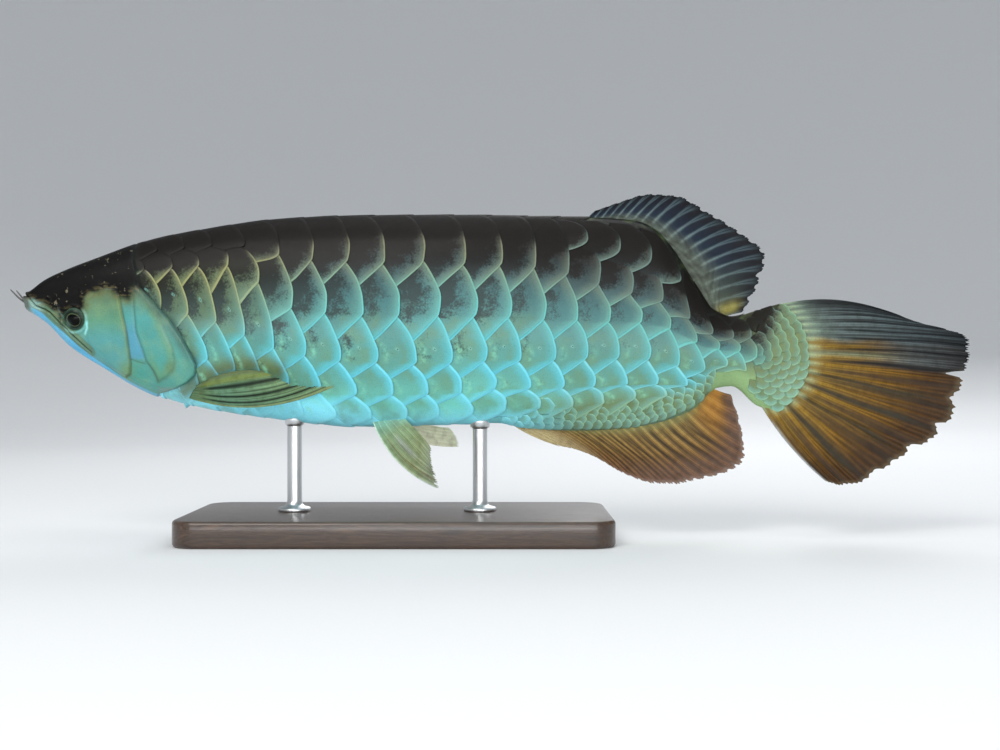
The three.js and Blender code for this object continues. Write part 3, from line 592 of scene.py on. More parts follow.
head = {
    "gillRear": [
        (-138.2, 18), (-130.7, 10.4), (-121.4, 0), (-115.4, -8.6), (-110.4, -18.4),
        (-108.2, -24), (-109, -29), (-113.4, -33), (-121, -36.6), (-131, -39.6),
    ],
    "gillFront": [
        (-149.6, 17.5), (-148.3, 11.9), (-146.2, 0.6), (-144.7, -7.7), (-144.1, -16.2),
        (-143.8, -23), (-145, -28.6), (-148, -30.2),
    ],
    "opercle": [
        (-140.7, 18), (-137.2, 16.8), (-133.1, 11.9), (-126.2, 2), (-122.9, -7.3), (-119.7, -15.2),
        (-118.9, -21.6), (-120, -26.4), (-124, -30), (-130, -33), (-129.6, -30.6), (-131.8, -26.1),
        (-135, -21.6), (-136.9, -14.2), (-139.5, -6.3), (-140.7, 9.4),
    ],
    "foldRear": [
        (-140.7, 12), (-139.5, -6.3), (-136.9, -14.2), (-135, -21.6), (-131.8, -26.1), (-129.3, -32.6),
    ],
    "shortFold": [(-143.7, -20.5), (-139.7, -22.2), (-135.6, -22.9)],
    "gape": [
        (-205.4, 14.6), (-200.6, 13.8), (-198.8, 11.8), (-195.9, 8.4), (-190.5, 6.3), (-187.6, 4.5),
        (-182.8, -0.6), (-179.4, -3.7), (-175.1, -8.2), (-170.2, -13), (-166.4, -16.6),
    ],
    "jawEdge": [
        (-206, 10), (-196.5, 6.6), (-192.5, 4.1), (-187.1, -1.2), (-180.4, -6.8), (-173.4, -13.6),
        (-162.3, -22), (-153, -28.8), (-146, -33.2), (-134, -38.6), (-115.5, -44.6), (-100, -48),
    ],
    "crown": [
        (-215, 15), (-200, 13.2), (-190.4, 9.7), (-186, 6), (-182.6, 5.2), (-181.6, 2), (-179.4, 4.4),
        (-175, 6.6), (-170, 5.4), (-168.4, 8), (-168.1, 12.7), (-164.7, 15.3), (-160.2, 16.4),
        (-156.4, 18.5), (-152.5, 17.4), (-148.0, 13.8), (-143.6, 12.2), (-141.5, 16.2), (-137.7, 17.8),
        (-128, 22), (-128, 70), (-215, 70),
    ],
    # a painted shadow along the upper rear edge of the gill cover
    "topShade": [(-139, 19), (-133.5, 13), (-126, 2.5)],
    "crescent": [(-166.7, -0.7), (-166.9, -3.9), (-168.4, -7.1)],
    "lacrimal": [(-183.6, 8.6), (-182.2, 5), (-179.6, 1.4)],
    "brow": [(-184, 9), (-178, 13.4), (-169, 13.6), (-160, 18.5)],
    "eye": (-174.2, 1.0),
    "eyeRadius": 6.1,
    "nostrils": [(-188.4, 11.5, 0.9), (-183.6, 7.6, 0.75)],
    # a painted shadow on the flank over the root of the pectoral fin
    "finShade": [(-116, -38), (-106, -32), (-98, -27.4), (-86, -23.8), (-74, -23.6), (-64, -26.6)],
    "spike": (-117, 2.4),  # a small point of skin under the throat, and how far it stands out
}
head["outline"] = [
    (-146, 70), (-143, 32), *head["gillRear"], (-136, -44), (-138, -60), (-240, -60), (-240, 70),
]
head["jawArea"] = [*head["jawEdge"], (-100, -80), (-230, -80), (-230, 10)]
head["cheek"] = [(-171, 17.5), *head["gillFront"], (-160, -22), (-166, -14), (-169, -6), (-170, 6)]
eyeX, eyeZ = head["eye"]


def fromLine(name, x, z):  # distance to one of the head's lines
    return lineDistance(head[name], x, z)


def within(name, x, z):  # depth inside one of the head's outlines
    return depthInside(head[name], x, z)


def farFromEye(x, z):
    return np.hypot(x - eyeX, z - eyeZ)


def headRelief(x, z, share):  # how far the head's forms stand off the body's plain shape
    near = lambda line, width: bump(fromLine(line, x, z), width)
    ahead = within("outline", x, z)
    flank = ease(24, 16, z) * ease(-48, -40, z)
    rear = ease(-150, -114, x) * flank
    lift = 0.3 * ease(-0.3, 0.5, ahead) + 0.95 * rear * ease(-0.25, 0.5, ahead)
    lift -= 0.9 * flank * ease(-8, -0.3, ahead) * ease(0.1, -0.3, ahead)
    lift += 0.5 * ease(-0.3, 1.4, within("opercle", x, z)) * flank
    lift += 0.45 * ease(-0.2, 1.2, within("cheek", x, z)) * ease(20, 14, z)
    lift -= 0.7 * near("gillFront", 0.5) * flank + 0.4 * near("foldRear", 0.6) + 0.35 * near("shortFold", 0.4)
    gape = fromLine("gape", x, z)
    jaw = within("jawArea", x, z)
    lips = ease(-162, -170, x)
    lift += 0.55 * bump(gape - 1.1, 0.7) * lips - 1.5 * bump(gape, 0.4)
    lift -= 0.25 * bump(jaw, 0.7) * ease(-150, -160, x)
    far = farFromEye(x, z)
    radius = head["eyeRadius"]
    lift = lift * ease(radius - 1, radius + 2, far) - 3.2 * ease(radius + 0.1, radius - 1.1, far)
    lift += 0.85 * bump(far - radius - 0.9, 0.8)
    lift += 0.5 * near("brow", 2.2) + 0.3 * near("lacrimal", 0.5)
    for nostrilX, nostrilZ, size in head["nostrils"]:
        away = np.hypot(x - nostrilX, z - nostrilZ)
        lift += 0.45 * bump(away - size - 0.35, 0.4) - 1.3 * bump(away, size * 0.75)
    lift -= 0.6 * bump(share - 0.962, 0.012) * ease(-196, -186, x) * ease(-122, -132, x)
    pleats = np.sin((share - 0.9) * 130) * ease(0.9, 0.93, share) * ease(-158, -148, x) * ease(-116, -126, x)
    lift += 0.22 * pleats
    spikeX, spikeOut = head["spike"]
    lift += spikeOut * bump(x - spikeX - 0.5, 1.1) * ease(0.985, 1.0, share)
    return lift


def headColour(x, z):
    near = lambda line, width: bump(fromLine(line, x, z), width)
    cheekStops = [(-10, hue["cheekLow"]), (0, hue["cheekMiddle"]), (14, hue["cheekTop"])]
    coverStops = [(-34, "coverLow"), (-14, "coverMiddle"), (2, "coverMiddle"), (15, "coverTop")]
    behind = depthInside([*head["gillFront"], *head["gillRear"][::-1]], x, z)
    cover = ramp([(place, hue[name]) for place, name in coverStops], z)
    colour = crossed(ramp(cheekStops, z), cover, ease(-0.4, 0.4, behind))
    opercle = within("opercle", x, z)
    colour = layered(
        colour,
        (hue["membrane"], 0.9 * ease(0.6, -0.6, opercle) * ease(-140, -132, x)),
        (hue["yellowGreen"], 0.4 * bump(opercle - 2, 2.2) * ease(-137, -130, x)),
        (hue["olive"], 0.4 * bump(np.hypot(x + 122, z + 25) - 1, 2.6)),
    )
    patch = ease(-0.2, 0.6, behind) * ease(0.3, -0.5, opercle) * ease(-133, -136, x)
    colour = layered(
        colour,
        (hue["bluePatch"], 0.8 * patch * ease(-21.6, -19.6, z) * ease(3, -9, z)),
        (hue["yellowGreen"], 0.5 * near("gillFront", 2) * ease(0.3, -0.3, behind)),
        (hue["yellowGreen"], 0.6 * bump(np.hypot(x + 147, z + 26), 4.5)),
    )
    # painted shade in the grooves of the gill cover
    for line, width, strength in (("gillFront", 0.7, 0.6), ("foldRear", 0.8, 0.3), ("shortFold", 0.4, 0.5)):
        colour = blendTo(colour, hue["olive"] * 0.4, strength * near(line, width))
    colour = layered(
        colour,
        # painted shade along the edge of the raised opercle plate
        (hue["olive"] * 0.6, 0.3 * bump(opercle, 0.9) * ease(-137, -132, x)),
        # painted shadow: a darker copy of the gill cover's top colour
        (hue["coverTop"] * 0.45, 0.5 * near("topShade", 1.6)),
        (hue["isthmus"], 0.8 * ease(-34.5, -38, z) * ease(-134, -126, x)),
    )
    jaw = within("jawArea", x, z)
    gape = fromLine("gape", x, z)
    lips = ease(-160, -167, x)
    colour = layered(
        colour,
        (hue["lipOlive"], 0.9 * lips * ease(3.2, 2.2, gape) * ease(-204, -197, x)),
        (hue["lip"], 0.8 * ease(-190, -195, x) * ease(14, 10.6, z)),
        (hue["jawBlue"], 0.95 * ease(-0.3, 0.5, jaw) * ease(-203, -195, x)),
        (hue["throat"], 0.7 * ease(2, 10, jaw) * ease(-175, -135, x)),
        (hue["snout"], 0.8 * ease(-198.6, -201, x) * ease(3, 8, z)),
    )
    far = farFromEye(x, z)
    above = ease(-4, 3, z - eyeZ - (x - eyeX) * 0.8)
    colour = blendTo(colour, hue["orbit"], 0.9 * bump(far - 7.6, 1.7) * above)
    colour = blendTo(colour, hue["paleCyan"] * 0.7, 0.5 * bump(far - 7.3, 0.6) * (1 - above))
    crown = within("crown", x, z)
    return layered(
        colour,
        (hue["olive"], 0.7 * ease(-6, -0.5, crown) * ease(-176, -164, x)),
        (hue["crown"], ease(-1.8 - 2 * ease(-165, -155, x), 1, crown)),
        (hue["lip"] * 0.6, 0.6 * near("lacrimal", 0.5)),
        (hue["paleCyan"], 0.9 * near("crescent", 0.55)),
    )


skin = {
    "snoutTip": -205, "roundTo": 2.6, "tipHeight": 11.4,
    "snoutStep": 0.42, "headStep": 0.6, "trunkStep": 5,
    "headFrom": -164, "trunkFrom": -102, "rootFrom": 150, "rootSteps": 16,
    "around": 336,
    "coarseTo": 190,  # from here the rings bend towards the arc of the tail's root
    "thinFrom": 196, "thinBy": 0.7,
    "mapStart": -206, "mapLength": 440,
}


def makeSkin(material):
    tipX, roundTo = skin["snoutTip"], skin["roundTo"]
    xs = np.concatenate([
        tipX + roundTo * (1 - np.cos(np.linspace(0, np.pi / 2, 9)))[:-1],
        np.arange(tipX + roundTo, skin["headFrom"], skin["snoutStep"]),
        np.arange(skin["headFrom"], skin["trunkFrom"], skin["headStep"]),
        np.arange(skin["trunkFrom"], skin["coarseTo"], skin["trunkStep"]),
        np.linspace(skin["coarseTo"], stationX[-1], skin["rootSteps"]),
    ])
    around = skin["around"]
    step = np.arange(around)
    half = around // 2
    side = np.where(step <= half, 1, -1)
    angle = np.pi * np.where(step <= half, step, around - step) / half
    nominal, angle = np.meshgrid(xs, angle, indexing="ij")
    side = np.broadcast_to(side, nominal.shape)
    arcX, arcZ, arcRadius = body["tailArc"]
    rootFrom, x = skin["rootFrom"], nominal
    for _ in range(4):  # rings bend until the last one follows the arc of the scaled root
        z = sectionPoint(x, angle, side)[..., 2] - body["axis"]
        end = arcX + np.sqrt(np.clip(arcRadius ** 2 - (z - arcZ) ** 2, 9, None)) + 1
        share = np.clip((nominal - rootFrom) / (stationX[-1] - rootFrom), 0, 1)
        x = np.where(nominal > rootFrom, rootFrom + share * (end - rootFrom), nominal)
    points = sectionPoint(x, angle, side)
    z = points[..., 2] - body["axis"]
    share = depthAt(x, points[..., 2])
    onHead = ease(-96, -104, x)
    lift = headRelief(x, z, share) * onHead - body["sinkUnderScales"] * (1 - onHead)
    points = points + skinNormal(x, angle, side) * lift[..., None]
    into = np.clip((nominal - tipX) / roundTo, 0, 1)
    size = np.maximum(np.sqrt(1 - (1 - into) ** 2), 0.02)
    middle = np.array([tipX, bendAt(tipX), body["axis"] + skin["tipHeight"]])
    rounded = (points - middle) * np.stack([np.ones_like(size), size, size], -1) + middle
    points = np.where((into < 1)[..., None], rounded, points)
    toEnd = np.clip((nominal - skin["thinFrom"]) / (stationX[-1] - skin["thinFrom"]), 0, 1)
    thin = 1 - skin["thinBy"] * ease(0.86, 1, toEnd)
    points[..., 1] = bendAt(x) + (points[..., 1] - bendAt(x)) * thin
    piece = sleeve("skin", points)

    found = coordinatesOf(piece) / mm
    x, z = found[:, 0], found[:, 2] - body["axis"]
    share = depthAt(x, found[:, 2])
    ahead = within("outline", x, z)
    underScales = scaleColours(x, share)[0] * 0.8
    bare = blendTo(underScales, hue["stalk"], ease(156, 172, x) * ease(0.55, 0.8, share))
    colour = crossed(bare, headColour(x, z), ease(-1.2, 0.2, ahead))
    # painted shadow on the skin just behind the gill cover's rear edge, and painted shade on the cover near
    # that edge
    shadow = ease(-7, -0.4, ahead) * ease(0.3, -0.3, ahead) * ease(-36, -26, z)
    gillEdgeShade = ease(7, 1, ahead) * ease(-0.5, 0.3, ahead) * ease(-30, -12, z) * ease(23, 14, z)
    coats = (hue["gillShade"], 0.75 * gillEdgeShade), (hue["shadowBehindGill"], 0.75 * shadow)
    addColours(piece, "paint", layered(colour, *coats))
    addNumbers(piece, "gape", fromLine("gape", x, z))
    addNumbers(piece, "crown", within("crown", x, z))
    addNumbers(piece, "cheek", ease(-1, 2, ahead) * ease(0, 3, within("jawArea", x, z) * -1))
    nostril = np.minimum(*[np.hypot(x - x0, z - z0) / width for x0, z0, width in head["nostrils"]])
    addNumbers(piece, "nostril", nostril)
    corners = cornerVertices(piece.data)
    faces, totals = faceOfCorner(piece.data)
    around = np.arctan2(found[:, 1] - bendAt(x), z)[corners] / (2 * np.pi) + 0.5
    highest = np.zeros(len(totals))
    np.maximum.at(highest, faces, around)
    around = around + (highest[faces] - around > 0.5)
    along = (x[corners] - skin["mapStart"]) / skin["mapLength"]
    addBakeMap(piece, np.stack([along, 0.01 + 0.96 * around], -1))
    smooth(piece)
    parts = "head", "lower_jaw", "gill_cover_left", "gill_cover_right", "torso", "tail"
    print("skin", len(piece.data.polygons) * 2, "triangles")
    return finishPiece(piece, material, "head_skin", *parts)


def skinPaint():
    paint = Paint("skin")
    colour = paint.attribute("paint", "Color")
    crown = paint.attribute("crown")
    ragged = (crown + paint.noise(230, 5) * 12 - 6).between(-1.8, 3)
    colour = paint.mix(ragged * 0.85 * crown.between(-5, -1.5), colour, hue["crown"])
    edge = crown.between(-5, -2) * (1 - crown.between(0.5, 3)) * paint.attribute("cheek")
    wrinkle = paint.noise(300, 4, (1, 1, 2.2)).between(0.45, 0.6)
    colour = paint.mix(wrinkle * edge * 0.4, colour, hue["wrinkle"])
    blotch = paint.noise(130, 4).between(0.42, 0.75) * (1 - crown.between(-2, 0.5))
    colour = paint.mix(blotch * 0.22, colour, tint(132, 158, 100))
    colour = paint.grained(
        colour,
        (75, 2, (0.35, 0.7), 0.3, (0.55, 0.66, 0.62), "MULTIPLY"),
        (2300, 1, (0.5, 0.72), 0.3, (0.3, 0.36, 0.32), "MULTIPLY"),
        (1500, 2, (0.6, 0.8), 0.25, (1.5, 1.45, 1.35), "MULTIPLY"),
    )
    specks = paint.noise(380, 2).between(0.66, 0.73) * crown.between(-1, 1)
    colour = paint.mix(specks * 0.55, colour, tint(128, 120, 100))
    # painted shade in the slit of the mouth
    gape = 1 - paint.attribute("gape").between(0.1, 0.5)
    colour = paint.mix(gape * 0.8, colour, (0.012, 0.012, 0.008))
    # painted shade in the nostrils' pits
    nostril = 1 - paint.attribute("nostril").between(0.6, 1)
    colour = paint.mix(nostril, colour, (0.004, 0.004, 0.004))
    pits = paint.noise(480, 4) + paint.noise(1900, 2) * 0.6
    rough = paint.noise(300, 2) * 0.2 + 0.32
    normal = paint.relief(pits, 0.4, 0.0004)
    coat = 0.28 - crown.between(-1, 1) * 0.25
    rough = rough + crown.between(-1, 1) * 0.18
    return paint.surface(
        colour, Roughness=rough, Metallic=0.03, Specular_IOR_Level=0.12,
        Coat_Weight=coat, Coat_Roughness=0.2, Normal=normal,
    )


# Scales

scale = {
    "rise": 1.1,  # of a full-size scale's rear edge off the skin
    "pitch": 20,
    "width": 0.95,  # half of a scale, in rows
    "reach": 1.4,  # how far ahead of its tip a scale begins, in columns
    "edge": [  # how far the rim lies ahead of the tip, in columns, from a scale's upper side down
        (-1.1, 1.07), (-0.85, 0.7), (-0.72, 0.53), (-0.65, 0.45), (-0.45, 0.26), (-0.25, 0.115),
        (-0.05, 0.025), (0.15, 0), (0.25, 0.012), (0.35, 0.12), (0.45, 0.25), (0.55, 0.375),
        (0.724, 0.595), (0.95, 0.88), (1.1, 1.07),
    ],
    "tip": 0.15,  # how far below its middle a scale reaches furthest back, in rows
    "extraRow": 0.58,  # a row of narrow scales beside the root of the dorsal fin
    "extraFrom": 93, "extraTo": 156, "extraWidth": 0.31,
    "extraLight": 0.1, "extraEdge": 0.8, "extraLift": 0.55,
    "bellyRise": 0.5, "backRise": 0.3,
    "thick": 0.45,
    "curl": 0.3, "curlWidth": 0.8,
    "dome": 0.2,
    "columns": (-2, 24),
    "grid": (24, 22),
    "tightness": 1.5,  # how much closer the rings of a scale lie towards its rim
    # rows that get narrower on one side: upper -1 or lower 1, by how much, and between which x
    "narrower": {1: (-1, 0.3, 88, 100), 5: (1, 0.5, 50, 80)},
    "bare": {0: (112, 178), 4: (163, 300), 5: (150, 300), 6: (58, 200)},  # x without scales in a row
    "lastTip": 197,
    "lateralTo": 185,
    "farOff": 9,  # stands for any distance too great to matter
    "wander": (-0.025, 0.025), "tilt": (-0.05, 0.05), "size": (0.96, 1.03),
}
edgeAt = Curve(scale["edge"])


def scalePaint():
    paint = Paint("scales")
    edge = paint.attribute("edge")
    tone = paint.attribute("tone")
    middle, band = paint.attribute("middle", "Color"), paint.attribute("band", "Color")
    wander = paint.noise(300, 3) * 3 - 1.5
    inner = (edge + wander).between(1.2, 7)
    colour = paint.mix(inner, band, middle)
    patch = paint.noise(75, 3).between(0.42, 0.66) * inner * tone.between(0.36, 0.55)
    colour = paint.mix(patch * 0.4, colour, hue["patch"])
    cloud = paint.noise(170, 5, distortion=0.5)
    fine = paint.noise(950, 3)
    dark = paint.attribute("dark") + (cloud - 0.5) * 1.1 + (fine - 0.5) * 0.8
    deepest = paint.mix(tone.between(0.2, 0.42), tint(24, 21, 19), tint(48, 58, 58))
    colour = paint.mix(dark.between(0.3, 0.82) * 0.93, colour, deepest)
    # painted highlight: a pale green crescent near the front of each scale on the lower flank
    gleam = paint.attribute("gleam") * paint.noise(420, 3).between(0.32, 0.62)
    colour = paint.mix(gleam * 0.5, colour, tint(140, 218, 182))
    colour = paint.grained(
        colour,
        (2600, 1, (0.5, 0.72), 0.32, (0.35, 0.4, 0.4), "MULTIPLY"),
        (1700, 2, (0.58, 0.8), 0.25, (1.5, 1.5, 1.45), "MULTIPLY"),
    )
    pore = paint.attribute("pore")
    star = (1 - (pore + paint.noise(800, 2) * 0.6 - 0.3).between(0.3, 0.9)) * 0.4
    colour = paint.mix(star, colour, tint(132, 190, 178))
    # painted shade in the pore's opening
    hole = 1 - pore.between(0.2, 0.4)
    colour = paint.mix(hole * 0.9, colour, tint(36, 52, 50))
    widening = 1 - tone.between(0.6, 0.85) * 0.4
    fromRim = (edge + (paint.noise(500, 2) - 0.5) * 0.6) * widening
    rimPaint = paint.attribute("rimPaint", "Color")
    soft = (1 - fromRim.between(0.6, 3.4)) * 0.28
    rimShare = (1 - fromRim.between(0.5, 1.2)).math("MAXIMUM", soft)
    colour = paint.mix(rimShare * paint.attribute("rimShow"), colour, rimPaint)
    rings = (edge * 14).math("SINE") * 0.1
    height = rings + paint.noise(700, 3) * 0.7
    normal = paint.relief(height, 0.3, 0.0003)
    rough = paint.noise(260, 2) * 0.2 + 0.46 - tone * 0.16
    coat = tone * 0.26 + 0.03
    return paint.surface(
        colour, Roughness=rough, Metallic=0.05, Specular_IOR_Level=0.12,
        Coat_Weight=coat, Coat_Roughness=0.2, Normal=normal,
    )


def scaleNotes(x, share, inward, face, chance, pore, darkness, gleam, shade):  # what the paint reads
    tone = toneOf(x, share)
    middle, band, rim = scaleColours(x, share)
    return {
        # the shade argument blends towards a painted shade colour on scales behind the gill cover
        "middle": blendTo(middle * (0.9 + 0.2 * chance), hue["gillShade"], 0.7 * shade),
        "band": blendTo(band * (0.95 + 0.1 * chance), hue["gillShade"], 0.8 * shade),
        "rimPaint": blendTo(rim, hue["gillShade"], 0.5 * shade),
        "edge": np.where(face > 0, inward, scale["farOff"]),
        "dark": darkness, "tone": tone, "gleam": gleam, "pore": pore,
        "rimShow": 0.05 + 0.87 * ease(0.08, 0.15, tone),
    }


def joinScales(name, template, points, notes, maps, material):  # one piece of all the scales of a part
    made = copiesOf(name, template, points)
    for note in notes[0]:
        values = np.concatenate([found[note] for found in notes])
        add = addNumbers if values.ndim == 1 else addColours
        add(made, note, values)
    addBakeMap(made, np.concatenate(maps))
    smooth(made)
    triangles = sum(len(face.vertices) - 2 for face in made.data.polygons)
    print(name, len(points), "scales,", triangles, "triangles")
    finishPiece(made, material, "scales")


def tileCorners(template, along, u, face):  # a scale's own places on its tile of the map: top and underside
    place = np.stack([along, u], -1)
    return slabCorners(template, 0.03 + 0.74 * place, 0.8 + 0.16 * place, face)


def isBare(row, x):  # places of the net without a scale of their own: beside the fins' roots
    if abs(row) == scale["extraRow"]:
        return x < scale["extraFrom"] or x > scale["extraTo"]
    start, end = scale["bare"].get(abs(row), (0, 0))
    return start < x < end


def darkPatch(row, x, tone, inward, chance):  # how much of the dark patch at a scale's root shows
    darkness = 0.66 - 1.67 * tone + 0.064 * np.minimum(inward, 12) + 0.2 * (chance - 0.5)
    lighter = {1: 0.32, scale["extraRow"]: 0}.get(abs(row), 0.2)
    darkness = darkness - lighter * ease(50, 100, x) * ease(0.08, 0.15, tone)
    return darkness + 0.5 * ease(0.14, 0.05, tone)


def makeScales(name, rows, template, material):
    piece, u, v, face = template
    across = (2 * u - 1) * scale["width"]
    along = 1 - (1 - v) ** scale["tightness"]
    tile = tileCorners(piece, along, u, face)
    points, notes, maps = [], [], []
    first, last = scale["columns"]
    for line, row in enumerate(rows):
        isExtra = abs(row) == scale["extraRow"]
        if row == 0:
            down = np.abs(across) + scale["tip"]
        elif abs(row) == body["lastRow"]:
            down = scale["tip"] - np.abs(across)
        else:
            down = across * np.sign(row)
        phase = 0 if row % 2 == 1 else 0.5
        for column in range(first, last + 1):
            tip = column + phase + dice.uniform(*scale["wander"])
            chance, tilt, size = dice.random(), dice.uniform(*scale["tilt"]), dice.uniform(*scale["size"])
            places = netPlace(np.array([tip, tip, tip]), row + np.array([0, -0.5, 0.5]))
            tipPoint, above, below = sectionPoint(*places)
            tipX, tipZ = tipPoint[0], tipPoint[2] - body["axis"]
            underHead = within("outline", tipX, tipZ) > -1
            if underHead or tipX > scale["lastTip"] or isBare(row, tipX):
                continue
            off = across * size
            if isExtra:
                off = off * scale["extraWidth"]
            if abs(row) in scale["narrower"]:
                way, part, start, end = scale["narrower"][abs(row)]
                off = np.where(down * way > 0, off * (1 - part * ease(start, end, tipX)), off)
            edge = scale["extraEdge"] * across ** 2 if isExtra else edgeAt(down)
            edge = edge + tilt * across + 0.012 * np.sin(across * 9 + chance * 6)
            ahead = edge + (1 - along) * np.maximum(scale["reach"] - edge, 0.12)
            x, angle, side = netPlace(tip - ahead, row + off)
            pitch = float(tipAt(tip + 0.5) - tipAt(tip - 0.5))
            growth = min(pitch / scale["pitch"], 1.05)
            if abs(row) == body["lastRow"]:
                growth *= scale["bellyRise"]
            if row == 0:
                growth *= scale["backRise"]
            slope = (edgeAt(down + 0.02) - edgeAt(down - 0.02)) / 0.04
            slant = slope * pitch / np.linalg.norm(below - above)
            inward = (ahead - edge) * pitch / np.hypot(1, slant)
            top = scale["rise"] * (1 - ahead) + scale["dome"] * (1 - across ** 2)
            top = (top - scale["curl"] * bump(inward, scale["curlWidth"])) * growth
            if isExtra:
                top = top + scale["extraLift"] * ease(scale["extraFrom"] - 4, scale["extraFrom"] + 8, x)
            lift = np.where(face > 0, top, top - scale["thick"] * growth)
            flat = sectionPoint(x, angle, side)
            ahead = within("outline", x, flat[:, 2] - body["axis"])
            inHead = ease(-1.8, 0.3, ahead)
            lift = lift * (1 - inHead) - 1.6 * inHead
            points.append(flat + skinNormal(x, angle, side) * lift[:, None])
            share = depthAt(x, flat[:, 2])
            if isExtra:
                share = share + scale["extraLight"]
            tone = toneOf(x, share)
            darkness = darkPatch(row, x, tone, inward, chance)
            isLateral = abs(row) == body["lateralRow"] and tipX < scale["lateralTo"]
            fromPore = inward - 0.46 * pitch
            pore = np.hypot(np.minimum(fromPore, fromPore * 0.4), (across + 0.085) * 14)
            pore = pore if isLateral else np.full_like(u, scale["farOff"])
            # painted highlight: a pale crescent near the front of each lower flank scale
            gleam = bump(inward - pitch + 4, 1.5) * bump(across, 0.4) * ease(0.52, 0.66, tone)
            # painted shade on the scales just behind the gill cover's rear edge
            shade = ease(-6.5, -1, ahead) * ease(-40, -30, flat[:, 2] - body["axis"])
            gleam = gleam * (0.4 + 0.8 * chance)
            notes.append(scaleNotes(x, share, inward, face, chance, pore, darkness, gleam, shade))
            corner = np.array([column - first + phase, line])
            maps.append((corner + tile) / [last - first + 2, len(rows)])
    joinScales(name, piece, points, notes, maps, material)


smallScale = {
    "grid": (10, 9),
    "rise": 0.42,
    "thick": 0.25,
    "baseLine": [
        (58, -56.6), (66, -58), (110, -57.6), (126, -57), (140, -53.6), (152, -49), (162, -44), (172, -37),
    ],
    "lines": [  # rows beside the anal fin: height over the base line, half-width, pitch along the row
        (12.2, 4.2, [(60, 11), (80, 10), (100, 8), (120, 6.6), (175, 5.4)]),
        (8.2, 2.8, [(60, 8), (85, 7), (105, 6), (175, 5.2)]),
        (4.6, 2.5, [(60, 7.5), (90, 5.8), (175, 5)]),
        (1.3, 2.3, [(60, 5.6), (175, 4.8)]),
    ],
    "analFrom": [71, 66, 63, 61],
    "analTo": 172,
    "rootRings": [0, 5, 10, 15, 20, 25],  # distances inside the tail's arc
    "rootPitch": 5.6,
    "tightness": 1.3,
    "reach": 1.3,
    "turn": (-0.06, 0.06),
    "overlap": 1.12,  # of neighbours in a row
    "flatFrom": 188, "flatTo": 194,
    "rootLight": 0.36,  # the scales get paler over the root of the tail fin
}


def smallPlaces():  # x, z, direction, pitch and half-width of each small scale
    places = []
    baseAt = Curve(smallScale["baseLine"])
    for i, (over, halfWidth, pitches) in enumerate(smallScale["lines"]):
        pitchAt = Curve(pitches)
        x = smallScale["analFrom"][i]
        while x < smallScale["analTo"]:
            pitch = float(pitchAt(x)) * dice.uniform(0.9, 1.1)
            squeeze = 1 - 0.12 * ease(130, 165, x)
            z, nextZ = [float(baseAt(at)) + over * squeeze for at in (x, x + 2)]
            places.append((x, z + dice.uniform(-0.3, 0.3), math.atan2(nextZ - z, 2), pitch, halfWidth))
            x += pitch
    arcX, arcZ, arcRadius = body["tailArc"]
    for i, inside in enumerate(smallScale["rootRings"]):
        radius = arcRadius - inside
        count = int(2 * math.pi * radius / smallScale["rootPitch"])
        for j in range(count):
            turn = 2 * math.pi * (j + 0.5 * (i % 2)) / count
            x, z = arcX + radius * math.cos(turn), arcZ + radius * math.sin(turn)
            if x > 190 + inside * 0.25 and bottomAt(x) + 0.6 < z < topAt(x) - 0.6:
                places.append((x, z, turn * 0.9, smallScale["rootPitch"] * 1.05, 3.3))
    return places


def makeSmallScales(template, material):
    piece, u, v, face = template
    across = (2 * u - 1) * scale["width"]
    along = 1 - (1 - v) ** smallScale["tightness"]
    part = np.abs(across) / scale["width"]
    arc = 0.6 * (1 - np.sqrt(1 - (0.97 * part) ** 2)) + 0.5 * part
    tile = tileCorners(piece, along, u, face)
    spots = smallPlaces()
    columns = math.ceil(math.sqrt(2 * len(spots)))
    points, notes, maps = [], [], []
    for side in (1, -1):
        for x0, z0, direction, pitch, halfWidth in spots:
            chance, turn = dice.random(), dice.uniform(*smallScale["turn"])
            flatter = 1 - 0.35 * ease(smallScale["flatFrom"], smallScale["flatTo"], x0)
            edge = 0.95 * halfWidth / pitch * arc * flatter
            ahead = edge + (1 - along) * np.maximum(smallScale["reach"] - edge, 0.12)
            rear = (0.3 - ahead) * pitch
            off = across / scale["width"] * halfWidth * smallScale["overlap"]
            c, s = math.cos(direction + turn), math.sin(direction + turn)
            x = x0 + rear * c + off * s
            z = z0 + rear * s - off * c
            z = np.clip(z, bottomAt(x) + 0.15, topAt(x) - 0.15)
            share = depthAt(x, z + body["axis"])
            angle = angleAtDepth(x, share)
            share = share + smallScale["rootLight"] * ease(198, 212, x) * (1 - share)
            inward = (ahead - edge) * pitch * 0.85
            top = smallScale["rise"] * flatter * pitch / 7 * (1.1 - ahead) - 0.1 * bump(inward, 0.5)
            lift = np.where(face > 0, top, top - smallScale["thick"])
            points.append(skinPoint(x, angle, np.full_like(x, side), lift))
            darkness = 1.0 - 2.2 * toneOf(x, share) + 0.03 * inward
            none = np.zeros_like(u)
            inward, pore = inward * 1.9 + 0.1, none + scale["farOff"]
            notes.append(scaleNotes(x, share, inward, face, chance, pore, darkness, none, none))
            place = len(points) - 1
            maps.append((np.array([place % columns, place // columns]) + tile) / columns)
    joinScales("small_scales", piece, points, notes, maps, material)


# Fins

def rayCurves(keys, toPoint):
    found = [toPoint(key) for key in keys]
    at = [key[0] for key in keys]
    return [[Curve(list(zip(at, [part[i][axis] for part in found]))) for axis in range(3)] for i in range(3)]


